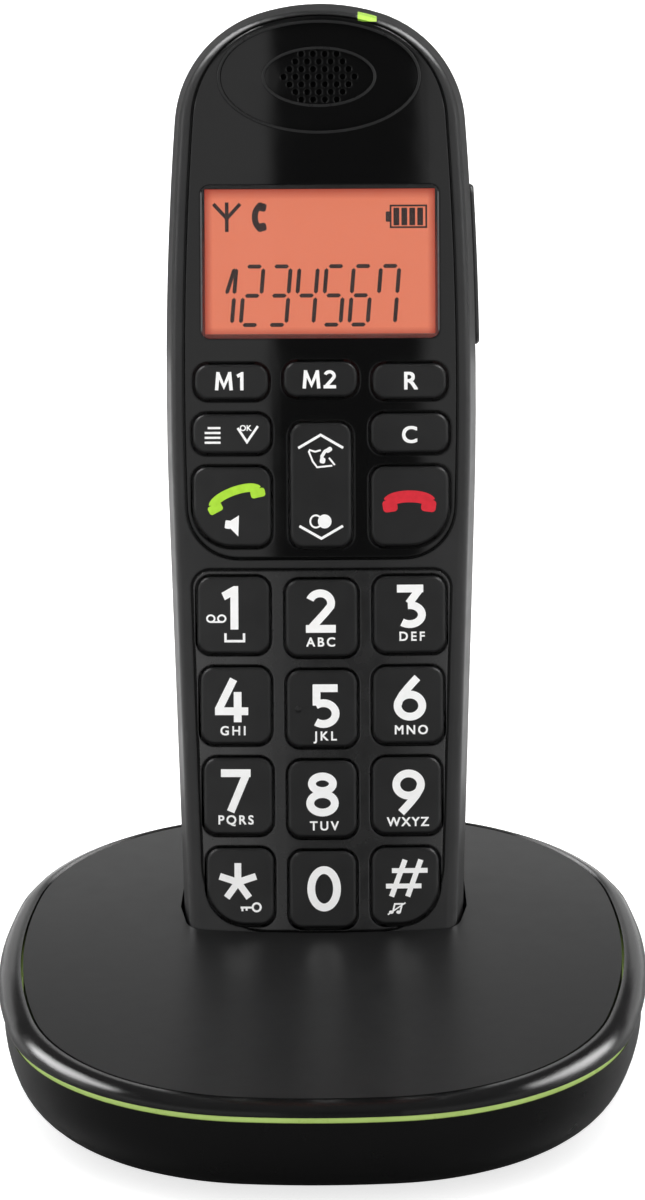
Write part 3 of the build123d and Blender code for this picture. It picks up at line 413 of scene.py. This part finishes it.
def block(cx, cy, width, height, corner, turn=0.0):
    """Rectangle with rounded corners, turned by turn degrees."""
    points = []
    along, up = width / 2 - corner, height / 2 - corner
    for right, top, start in ((1, 1, 0), (-1, 1, 90), (-1, -1, 180), (1, -1, 270)):
        points += arc(right * along, top * up, corner, corner, start, start + 90, CORNER_STEPS)
    return moved([points], cx, cy, 1.0, turn)


def moved(polygons, dx, dy, scale=1.0, turn=0.0):
    """Polygons scaled, turned by turn degrees and moved."""
    cosine, sine = cos(radians(turn)) * scale, sin(radians(turn)) * scale
    return [
        [(dx + x * cosine - y * sine, dy + x * sine + y * cosine) for x, y in outline]
        for outline in polygons
    ]


def letter_outlines(text, spacing):
    """Letters of the built-in typeface as flat faces, at its own size."""
    curve = bpy.data.curves.new("letters", "FONT")
    curve.body = text
    curve.space_character = spacing
    curve.resolution_u = LETTER_STEPS
    letters = bpy.data.objects.new("letters", curve)
    bpy.context.scene.collection.objects.link(letters)
    bpy.context.view_layer.update()
    graph = bpy.context.evaluated_depsgraph_get()
    mesh = bpy.data.meshes.new_from_object(letters.evaluated_get(graph))
    corners = [vertex.co.to_2d() for vertex in mesh.vertices]
    outlines = [[tuple(corners[i]) for i in face.vertices] for face in mesh.polygons]
    bpy.data.objects.remove(letters)
    bpy.data.curves.remove(curve)
    bpy.data.meshes.remove(mesh)
    return outlines


def text_polygons(text, size, bolder=0.0, spacing=1.0):
    """Text centred on the origin with its capitals size high and its strokes bolder."""
    capital = [y for outline in letter_outlines("H", 1.0) for x, y in outline]
    scale = size / (max(capital) - min(capital))
    outlines = letter_outlines(text, spacing)
    xs = [x for outline in outlines for x, y in outline]
    middle_x, middle_y = (max(xs) + min(xs)) / 2, (max(capital) + min(capital)) / 2
    plain = [
        [((x - middle_x) * scale, (y - middle_y) * scale) for x, y in outline] for outline in outlines
    ]
    bold = []
    for dx, dy in ((-1, -1), (1, -1), (1, 1), (-1, 1)) if bolder else ((0, 0),):
        bold += moved(plain, dx * bolder / 2, dy * bolder / 2)
    return bold


def key_middle(name):
    """Middle of a key's cap seen on the handset's face."""
    inverse = HANDSET.inverted()
    points = [inverse @ v.co for v in nodes["key_" + name].data.vertices]
    cap = [p for p in points if p.z > CAP_LEVEL]
    low_x, high_x = min(p.x for p in cap), max(p.x for p in cap)
    low_y, high_y = min(p.y for p in cap), max(p.y for p in cap)
    return (low_x + high_x) / 2, (low_y + high_y) / 2


def print_on_key(name, part, polygons, ink="white_ink_painted_glow"):
    """Prints polygons, drawn round the middle of the key's cap."""
    piece = f"print_{name}_{part}"
    mesh = flat_mesh(piece, moved(polygons, *key_middle(name)), KEY_PROUD + PRINT_LIFT)
    new_object(piece, mesh, ink, "key_" + name)


# ---------------------------------------------------------------- number keys
DIGIT_HEIGHT = 7.13          # of the figures below
STROKE = 1.28                # width of their lines
THIN = 0.3                   # width of the lines of small signs
LETTER_HEIGHT = 1.42
LETTER_BOLDNESS = 0.09

six = ring(0, -1.1, 2.02, 1.82, STROKE)
six += ribbon(
    [(1.25, 3.5), (0.45, 2.65), (-0.45, 1.65), (-1.25, 0.65), (-1.75, -0.2), (-2.0, -1.0)], STROKE
)
DIGITS = {
    "1": [
        [
            (0.66, 3.565), (-0.1, 3.565), (-2.1, 2.45), (-1.55, 1.25), (-0.64, 1.75), (-0.64, -3.565),
            (0.66, -3.565),
        ]
    ],
    "2": ribbon(arc(-0.08, 1.3, 1.78, 1.62, 160, -18) + [(0.75, -0.25), (-1.45, -2.65)], STROKE)
    + ribbon([(-2.45, -2.915), (2.45, -2.915)], STROKE),
    "3": ribbon([(-2.38, 2.915), (1.93, 2.915)], STROKE)
    + ribbon([(1.35, 2.85), (-0.45, 0.45)], STROKE)
    + ribbon(arc(-0.33, -1.37, 2.02, 1.56, 98, -128), STROKE),
    "4": ribbon([(0.42, 3.5), (-2.1, -1.55)], STROKE)
    + ribbon([(-2.66, -1.76), (2.8, -1.76)], STROKE)
    + ribbon([(1.07, 1.4), (1.07, -3.565)], STROKE),
    "5": ribbon([(-2.0, 2.95), (2.05, 2.95)], STROKE)
    + ribbon([(-1.42, 3.5), (-1.42, 0.1)], STROKE)
    + ribbon(arc(-0.30, -1.22, 2.0, 1.72, 128, -128), STROKE),
    "6": six,
    "7": ribbon([(-2.42, 2.85), (2.46, 2.85)], STROKE) + ribbon([(1.85, 2.9), (-0.85, -3.5)], STROKE),
    "8": ring(0, 1.78, 1.72, 1.2, STROKE) + ring(0, -1.43, 2.02, 1.52, STROKE),
    "9": moved(six, 0, 0, 1.0, 180),
    "0": ring(0, 0, 2.12, 3.08, STROKE),
}
LETTERS = {
    "2": ("ABC", 1.35), "3": ("DEF", 1.35), "4": ("GHI", 1.35), "5": ("JKL", 1.35), "6": ("MNO", 1.3),
    "7": ("PQRS", 1.3), "8": ("TUV", 1.35), "9": ("WXYZ", 1.2),
}
DIGIT_PLACES = {
    "1": (0.12, 1.23), "2": (-0.12, 1.15), "3": (0.33, 1.35), "4": (-0.78, 0.86), "5": (0.53, 0.4),
    "6": (0.28, 1.0), "7": (-0.4, 0.94), "8": (0.0, 0.74), "9": (0.3, 0.7), "0": (0.2, 0.12),
}
LETTER_PLACES = {
    "2": (-0.16, -3.93), "3": (0.4, -3.57), "4": (-0.5, -4.1), "5": (0.5, -4.5), "6": (0.5, -4.06),
    "7": (-0.37, -3.9), "8": (0.3, -4.4), "9": (0.16, -4.3),
}
for digit, outlines in DIGITS.items():
    print_on_key(digit, "digit", moved(outlines, *DIGIT_PLACES[digit]))
for digit, (letters, spacing) in LETTERS.items():
    label = text_polygons(letters, LETTER_HEIGHT, LETTER_BOLDNESS, spacing)
    print_on_key(digit, "letters", moved(label, *LETTER_PLACES[digit]))

voicemail = ring(-3.75, -0.55, 0.62, 0.55, THIN) + ring(-1.95, -0.55, 0.62, 0.55, THIN)
voicemail += ribbon([(-3.75, -1.1), (-1.95, -1.1)], THIN)
space_mark = ribbon([(-1.35, -2.95), (-1.35, -4.25), (1.7, -4.25), (1.7, -2.95)], 0.40)
print_on_key("1", "marks", voicemail + space_mark)

star = []
for turn in range(5):
    star += moved(ribbon([(0, -0.2), (0, 3.15)], 1.12), -0.42, 0.72, 1.0, 72 * turn)
lock = ring(2.65, -3.4, 0.66, 0.66, 0.34) + ribbon([(2.0, -3.45), (0.0, -3.45)], 0.34)
lock += ribbon([(0.3, -3.45), (0.3, -4.05)], 0.34) + ribbon([(1.0, -3.45), (1.0, -3.95)], 0.34)
print_on_key("star", "marks", star + lock)

hash_mark = ribbon([(-0.04, 4.3), (-2.29, -1.73)], 0.86) + ribbon([(2.55, 4.3), (0.37, -1.73)], 0.86)
hash_mark += ribbon([(-2.21, 2.53), (3.65, 2.53)], 0.8) + ribbon([(-3.19, -0.01), (2.63, -0.01)], 0.8)
mute = ribbon([(-2.1, -4.3), (-1.75, -2.95), (-0.55, -2.95), (-0.9, -4.3)], 0.28)
mute += disc(-2.35, -4.3, 0.38, 0.28) + disc(-1.15, -4.3, 0.38, 0.28)
mute += ribbon([(-2.9, -4.7), (0.0, -2.75)], 0.22)
print_on_key("hash", "marks", hash_mark + mute)

# ---------------------------------------------------------------- memory, menu and call keys
letter_m = ribbon([(-1.2, -1.5), (-0.95, 1.5)], 0.56) + ribbon([(1.2, -1.5), (0.95, 1.5)], 0.56)
letter_m += ribbon([(-0.95, 1.3), (0.0, -0.9), (0.95, 1.3)], 0.52)
small = 3.0 / DIGIT_HEIGHT
print_on_key("m1", "text", moved(letter_m, -1.25, 0.15) + moved(DIGITS["1"], 1.7, 0.15, small))
print_on_key("m2", "text", moved(letter_m, -1.45, 0.0) + moved(DIGITS["2"], 1.55, 0.0, small))
print_on_key("r", "text", moved(text_polygons("R", 2.75, 0.16), 0.28, 0.1))
print_on_key("clear", "text", moved(text_polygons("C", 2.6, 0.16), 0.0, -0.25))

menu = ribbon([(-3.95, 0.95), (-1.85, 0.95)], 0.36)
for height in (0.15, -0.65, -1.45):
    menu += ribbon([(-4.45, height), (-1.85, height)], 0.36)
menu += ribbon([(0.98, 0.95), (2.5, -1.35), (4.3, 1.25)], 0.40)
menu += moved(text_polygons("OK", 0.9, 0.06), 2.3, 0.95)
print_on_key("menu", "marks", menu)

arrows = ribbon([(-3.69, 6.1), (0, 8.25), (3.69, 6.1)], 0.42)
arrows += ribbon([(-3.55, -6.7), (0.05, -8.75), (3.6, -6.7)], 0.42)
book = ribbon([(-1.7, 5.9), (-1.95, 5.5), (-1.3, 3.9), (-0.6, 2.95), (1.9, 3.2)], THIN)
book += ribbon([(-1.75, 5.75), (-0.9, 5.5), (0.0, 5.75)], THIN)
book += ribbon([(1.55, 6.0), (0.7, 5.55), (0.2, 4.75), (0.25, 3.95)], 0.55)
book += block(1.35, 5.8, 1.1, 0.75, 0.3, 35) + block(0.3, 4.05, 0.95, 0.9, 0.3, 80)
book += ribbon([(1.35, 4.5), (2.3, 3.3)], THIN)
redial = ring(-0.85, -5.95, 0.92, 1.0, THIN) + disc(0.6, -5.95, 1.12, 1.15)
print_on_key("navigate", "marks", arrows + book + redial)


def handset_icon(reach, rise, band, ear_width, ear_height):
    """Telephone receiver with its ears down, drawn round the middle between them."""
    shape = ribbon(arc(0, 0, reach, rise, 172, 8, 24), band)
    ear = block(0, 0, ear_width, ear_height, ear_height * 0.3)
    for side in (-1, 1):
        shape += moved(ear, side * reach * 0.93, -ear_height * 0.22, 1.0, -side * 8)
    return shape


receiver = moved(handset_icon(4.0, 1.35, 1.4, 2.4, 1.45), 0.63, 1.3, 1.0, 20)
print_on_key("talk", "receiver", receiver, "green_ink")
speaker = block(-0.7, -2.9, 0.95, 1.35, 0.2, -8)
speaker += [[(-0.35, -2.3), (1.12, -1.4), (1.0, -4.85), (-0.35, -3.5)]]
print_on_key("talk", "speaker", speaker)
receiver = moved(handset_icon(3.4, 1.1, 1.95, 2.4, 2.0), -0.1, 0.5)
print_on_key("end", "receiver", receiver, "red_ink")

# ---------------------------------------------------------------- display
SEGMENTS = {"1": "fbc", "2": "abged", "3": "abgcd", "4": "fgbc", "5": "afgcd", "6": "afgedc", "7": "fabc"}
SHOWN_FIGURES = "1234567"
FIRST_FIGURE = -15.6         # middle of the first, across
FIGURE_PITCH = 4.45
FIGURES_DOWN = -5.61         # their middle, from the display's
FIGURE_SLANT = 0.085


def segment_digit(lit, narrow=False):
    """Slanted seven-segment figure centred on the origin; a narrow one has a sloping upper left."""
    half, tall, thick, gap = 1.5, 4.8, 0.66, 0.30
    lines = {
        "a": ((-half, tall), (half, tall)),
        "g": ((-half, 0), (half, 0)),
        "d": ((-half, -tall), (half, -tall)),
        "f": ((-half, tall), (-half, 0)),
        "e": ((-half, 0), (-half, -tall)),
        "b": ((half, tall), (half, 0)),
        "c": ((half, 0), (half, -tall)),
    }
    shape = []
    for name in lit:
        (x0, y0), (x1, y1) = lines[name]
        if narrow and name == "f":
            (x0, y0), (x1, y1) = (half * 0.85, tall), (half * 0.1, 0)
        start, end = Vector((x0, y0)), Vector((x1, y1))
        way = (end - start).normalized()
        side = Vector((-way.y, way.x)) * thick / 2
        start, end = start + way * gap, end - way * gap
        tip = way * thick * 0.45
        outline = [start, start + tip + side, end - tip + side, end, end - tip - side, start + tip - side]
        shape.append([(p.x + FIGURE_SLANT * p.y, p.y) for p in outline])
    return shape


display = []
for i, digit in enumerate(SHOWN_FIGURES):
    figure = segment_digit(SEGMENTS[digit], digit == "1")
    display += moved(figure, FIRST_FIGURE + FIGURE_PITCH * i, FIGURES_DOWN)
antenna_sign = ribbon([(-15.25, 4.89), (-15.25, 9.74)], 0.6)
antenna_sign += ribbon([(-17.45, 9.49), (-15.25, 7.09), (-13.05, 9.49)], 0.6)
receiver_sign = ribbon(arc(-9.3, 7.29, 1.35, 2.0, 95, 265, 12), 1.0)
receiver_sign += block(-9.55, 8.94, 1.6, 1.35, 0.4, -12) + block(-9.55, 5.64, 1.6, 1.35, 0.4, 12)
battery_sign = ribbon([(11.6, 5.54), (17.45, 5.54), (17.45, 9.09), (11.6, 9.09)], THIN, closed=True)
battery_sign += block(11.2, 7.29, 0.8, 1.7, 0.2)
for place in (12.55, 13.85, 15.15, 16.45):
    battery_sign += block(place, 7.29, 0.95, 2.9, 0.1)
display += antenna_sign + receiver_sign + battery_sign
figures = flat_mesh("display_figures", moved(display, 0, DISPLAY), SEGMENT_LIFT, LCD_LEVEL)
new_object("display_figures", figures, "segment", "handset")


# ---------------------------------------------------------------- raised lines of the face
BEAD_STEPS = 6               # facets over a bead
DOME_RINGS = 5
DOME_SIDES = 16


def smooth_mesh(name, build):
    """Ends a bmesh as a smooth mesh."""
    for face in build.faces:
        face.smooth = True
    mesh = bpy.data.meshes.new(name)
    build.to_mesh(mesh)
    build.free()
    return mesh


def tube_loop(name, points, width, height, lift, closed=True):
    """Low rounded bead along points on the crowned face, as (x, y)."""
    build = bmesh.new()
    rows = []
    count = len(points)
    for i, point in enumerate(points):
        before = Vector(points[i - 1] if i or closed else points[i])
        after = Vector(points[(i + 1) % count] if i < count - 1 or closed else points[i])
        way = (after - before).normalized()
        side = Vector((-way.y, way.x))
        row = []
        for step in range(BEAD_STEPS + 1):
            angle = pi * step / BEAD_STEPS
            spot = Vector(point) + side * (width / 2 * cos(angle))
            row.append(build.verts.new((spot.x, spot.y, crown(spot.x) + lift + height * sin(angle))))
        rows.append(row)
    for i in range(count if closed else count - 1):
        first, second = rows[i], rows[(i + 1) % count]
        for j in range(BEAD_STEPS):
            build.faces.new((first[j], first[j + 1], second[j + 1], second[j]))
    bmesh.ops.recalc_face_normals(build, faces=build.faces)
    return smooth_mesh(name, build)


def dome_mesh(name, cx, cy, radius, height, base):
    """Small raised dot."""
    build = bmesh.new()
    rings = []
    for step in range(DOME_RINGS):
        angle = pi / 2 * step / DOME_RINGS
        reach = radius * cos(angle)
        rings.append(
            [
                build.verts.new((x, y, crown(x) + base + height * sin(angle)))
                for x, y in arc(cx, cy, reach, reach, 0, 360, DOME_SIDES)[:-1]
            ]
        )
    top = build.verts.new((cx, cy, crown(cx) + base + height))
    for low, high in zip(rings, rings[1:]):
        for i in range(DOME_SIDES):
            after = (i + 1) % DOME_SIDES
            build.faces.new((low[i], low[after], high[after], high[i]))
    for i in range(DOME_SIDES):
        build.faces.new((rings[-1][i], rings[-1][(i + 1) % DOME_SIDES], top))
    return smooth_mesh(name, build)


DISH_SIZE = (16.5, 9.1)      # half width and half height of the line round the earpiece's dish
GRILLE_SIZE = (9.2, 4.75)    # and of the one round its holes
RIM_WIDTH = 0.5              # beads on both
RIM_HEIGHT = 0.09
RIM_SINK = 0.03
WINDOW_HALF_WIDTH = 19.45    # to the beads beside the display window
WINDOW_LENGTH = 22.8
WINDOW_STEPS = 8

key_x, key_y = key_middle("5")
dot = dome_mesh("key_5_dot", key_x - 3.9, key_y - 0.1, radius=0.55, height=0.3, base=KEY_PROUD)
new_object("key_5_dot", dot, "key", "key_5")
# Beads round the dish and grille: real raised edges in a lighter grey, which paints part of their
# highlight.
dish_line = arc(0, EARPIECE, *DISH_SIZE, 0, 360, 96)[:-1]
rim = tube_loop("earpiece_rim", dish_line, RIM_WIDTH, RIM_HEIGHT, -RIM_SINK)
new_object("earpiece_rim", rim, "ring", "handset")
grille_line = arc(0, EARPIECE, *GRILLE_SIZE, 0, 360, 72)[:-1]
rim = tube_loop("earpiece_inner_rim", grille_line, RIM_WIDTH, RIM_HEIGHT, -DISH_DEPTH - RIM_SINK)
new_object("earpiece_inner_rim", rim, "ring", "handset")
# Beads along the window's sides, partly real edge and partly painted highlight through their light grey
# finish.
for side, label in ((-1, "left"), (1, "right")):
    heights = [WINDOW_LENGTH * (i / WINDOW_STEPS - 0.5) for i in range(WINDOW_STEPS + 1)]
    line = [(side * WINDOW_HALF_WIDTH, DISPLAY + height) for height in heights]
    bead = tube_loop(f"window_highlight_bead_{label}", line, width=0.26, height=0.05, lift=0.0, closed=False)
    new_object(f"window_highlight_bead_{label}", bead, "edge", "handset")

# ================================================================ camera and light
CAMERA_DISTANCE = 2.5
CAMERA_TARGET = Vector((0.55, -9.378, 83.9)) * MM
CAMERA_AZIMUTH = 0.0146      # radians to the right of straight ahead
CAMERA_ELEVATION = radians(20.14)
CAMERA_ROLL = radians(-0.55)
SENSOR_HEIGHT = 24.0
FOCAL_LENGTH = 308.0

camera_data = bpy.data.cameras.new("camera")
camera_data.sensor_fit = "VERTICAL"
camera_data.sensor_height = SENSOR_HEIGHT
camera_data.lens = FOCAL_LENGTH
camera = bpy.data.objects.new("camera", camera_data)
bpy.context.scene.collection.objects.link(camera)
camera.location = CAMERA_TARGET + CAMERA_DISTANCE * Vector(
    (
        sin(CAMERA_AZIMUTH) * cos(CAMERA_ELEVATION),
        -cos(CAMERA_AZIMUTH) * cos(CAMERA_ELEVATION),
        sin(CAMERA_ELEVATION),
    )
)
aim = (CAMERA_TARGET - camera.location).to_track_quat("-Z", "Y").to_matrix()
camera.rotation_euler = (aim @ Matrix.Rotation(CAMERA_ROLL, 3, "Z")).to_euler()
bpy.context.scene.camera = camera


def area_light(name, place, target, width, height, power):
    """Softbox of width by height metres at place, turned to target."""
    data = bpy.data.lights.new(name, "AREA")
    data.shape = "RECTANGLE"
    data.size = width
    data.size_y = height
    data.energy = power
    light = bpy.data.objects.new(name, data)
    bpy.context.scene.collection.objects.link(light)
    light.location = place
    light.rotation_euler = (Vector(target) - Vector(place)).to_track_quat("-Z", "Y").to_euler()
    return light


top_softbox = area_light(
    "top_softbox", place=(0.0, -0.10, 1.2), target=(0, 0, 0.05), width=0.8, height=0.8, power=7.0
)
top_softbox.visible_glossy = False
back_strip = area_light(
    "back_strip", place=(0.0, 0.115, 0.042), target=(0, 0, 0.042), width=0.6, height=0.08, power=0.11
)
back_strip.visible_camera = False
back_strip.visible_diffuse = False

# The studio that glossy surfaces mirror: a white tent with a dark gap for the camera, darker high up
# and behind, and two softboxes on each side.
SLIT_LEFT = -0.131           # edges of the gap, as across over forward
SLIT_RIGHT = 0.234
SLIT_SOFTNESS = 0.02
SLIT_LEVEL = 0.03
TENT_LEVEL = 0.70
TENT_TOP = (0.45, 0.75)      # the tent darkens between these, as the upward part of the way to it
UPPER_LEVEL = 0.10
TENT_BACK = (0.35, 0.75)     # and between these, as the backward part
BACK_LEVEL = 0.11
BOX_SOFTNESS = 0.006
SIDE_BOX_WAY = (0.62, 0.42, 0.66)   # way to the raised softbox on each side
SIDE_BOX_EDGE = 0.955        # cosine of the angle from its middle to its rim
SIDE_BOX_LEVEL = 10.0
EDGE_BOX_WAY = (1.0, 0.0, 0.03)     # way to the low softbox that lights the edges
EDGE_BOX_EDGE = 0.985
EDGE_BOX_LEVEL = 2.0
FILL_LEVEL = 0.75            # what matt surfaces get from the world


def world_node(kind, **settings):
    made = tree.nodes.new(kind)
    for key, value in settings.items():
        setattr(made, key, value)
    return made


def world_math(operation, first, second=None):
    """Result of a maths node on one or two numbers or sockets."""
    made = world_node("ShaderNodeMath", operation=operation)
    for socket, value in zip(made.inputs, (first, second)):
        if isinstance(value, (int, float)):
            socket.default_value = value
        elif value is not None:
            tree.links.new(value, socket)
    return made.outputs[0]


def world_ramp(value, low, high, first=0.0, last=1.0):
    """value, mapped smoothly from low..high to first..last."""
    made = world_node("ShaderNodeMapRange", interpolation_type="SMOOTHSTEP")
    for socket, number in (("From Min", low), ("From Max", high), ("To Min", first), ("To Max", last)):
        made.inputs[socket].default_value = number
    tree.links.new(value, made.inputs["Value"])
    return made.outputs["Result"]


def world_choice(switch, off, on):
    """off where the switch is 0 and on where it is 1, each a number or a socket."""
    made = world_node("ShaderNodeMix", data_type="FLOAT")
    tree.links.new(switch, made.inputs["Factor"])
    for socket, value in (("A", off), ("B", on)):
        if isinstance(value, (int, float)):
            made.inputs[socket].default_value = value
        else:
            tree.links.new(value, made.inputs[socket])
    return made.outputs["Result"]


def lamp_box(sideways, way_to_it, edge, glow):
    """Glow of a round softbox, edge being the cosine to its rim."""
    toward = world_node("ShaderNodeVectorMath", operation="DOT_PRODUCT")
    tree.links.new(sideways, toward.inputs[0])
    toward.inputs[1].default_value = Vector(way_to_it).normalized()
    return world_ramp(toward.outputs["Value"], edge - BOX_SOFTNESS, edge + BOX_SOFTNESS, 0.0, glow)


def tent_glow():
    """Level of the studio in each direction."""
    way = world_node("ShaderNodeSeparateXYZ")
    tree.links.new(world_node("ShaderNodeTexCoord").outputs["Generated"], way.inputs[0])
    forward = world_math("MAXIMUM", world_math("MULTIPLY", way.outputs["Y"], -1.0), 0.001)
    across = world_math("DIVIDE", way.outputs["X"], forward)
    past_left = world_ramp(across, SLIT_LEFT - SLIT_SOFTNESS, SLIT_LEFT + SLIT_SOFTNESS)
    past_right = world_ramp(across, SLIT_RIGHT - SLIT_SOFTNESS, SLIT_RIGHT + SLIT_SOFTNESS, 1.0, 0.0)
    in_slit = world_math("MULTIPLY", past_left, past_right)
    tent = world_ramp(way.outputs["Z"], *TENT_TOP, TENT_LEVEL, UPPER_LEVEL)
    at_back = world_ramp(way.outputs["Y"], *TENT_BACK)
    behind = world_math("MULTIPLY", at_back, world_math("SUBTRACT", tent, BACK_LEVEL))
    tent = world_math("SUBTRACT", tent, behind)
    sideways = world_node("ShaderNodeCombineXYZ")
    tree.links.new(world_math("ABSOLUTE", way.outputs["X"]), sideways.inputs["X"])
    tree.links.new(way.outputs["Y"], sideways.inputs["Y"])
    tree.links.new(way.outputs["Z"], sideways.inputs["Z"])
    sideways = sideways.outputs["Vector"]
    tent = world_math("ADD", tent, lamp_box(sideways, SIDE_BOX_WAY, SIDE_BOX_EDGE, SIDE_BOX_LEVEL))
    tent = world_math("ADD", tent, lamp_box(sideways, EDGE_BOX_WAY, EDGE_BOX_EDGE, EDGE_BOX_LEVEL))
    dark = world_math("MULTIPLY", world_math("SUBTRACT", tent, SLIT_LEVEL), in_slit)
    return world_math("SUBTRACT", tent, dark)


world = bpy.data.worlds.new("studio")
world.use_nodes = True
bpy.context.scene.world = world
tree = world.node_tree
background = tree.nodes["Background"]
background.inputs["Color"].default_value = (1, 1, 1, 1)
path = world_node("ShaderNodeLightPath")
seen = world_math("MAXIMUM", path.outputs["Is Camera Ray"], path.outputs["Is Transmission Ray"])
lit = world_choice(path.outputs["Is Glossy Ray"], FILL_LEVEL, tent_glow())
tree.links.new(world_choice(seen, lit, 1.0), background.inputs["Strength"])

FLOOR_SIZE = 6.0
FLOOR_COLOR = (0.85, 0.85, 0.85)
# Painted shade: glossy surfaces see the floor dark, standing in for the shadowed floor that the base's
# underside mirrors.
FLOOR_MIRRORED_SHADE = (0.16, 0.16, 0.16, 1)      # colour of the floor in glossy surfaces
FLOOR_SEEN = (0.74, 0.74, 0.74, 1)          # glow that takes the floor to white for the camera

bpy.ops.mesh.primitive_plane_add(size=FLOOR_SIZE)
floor = bpy.context.object
floor.name = "floor"
floor_finish = Finish("floor", FLOOR_COLOR, 0.6).bump(0.002, 0.00001).vary_roughness(0.01, 0.55, 0.65)
floor_path = floor_finish.node("ShaderNodeLightPath")
floor_painted_shade_mix = floor_finish.node("ShaderNodeMix", data_type="RGBA")
floor_painted_shade_mix.inputs["A"].default_value = (*FLOOR_COLOR, 1)
floor_painted_shade_mix.inputs["B"].default_value = FLOOR_MIRRORED_SHADE
floor_finish.link(floor_path.outputs["Is Glossy Ray"], floor_painted_shade_mix.inputs["Factor"])
floor_finish.link(floor_painted_shade_mix.outputs["Result"], floor_finish.shader.inputs["Base Color"])
floor_finish.shader.inputs["Emission Color"].default_value = FLOOR_SEEN
floor_finish.link(floor_path.outputs["Is Camera Ray"], floor_finish.shader.inputs["Emission Strength"])
floor.data.materials.append(floor_finish.material)

bpy.context.scene.view_settings.view_transform = "Standard"
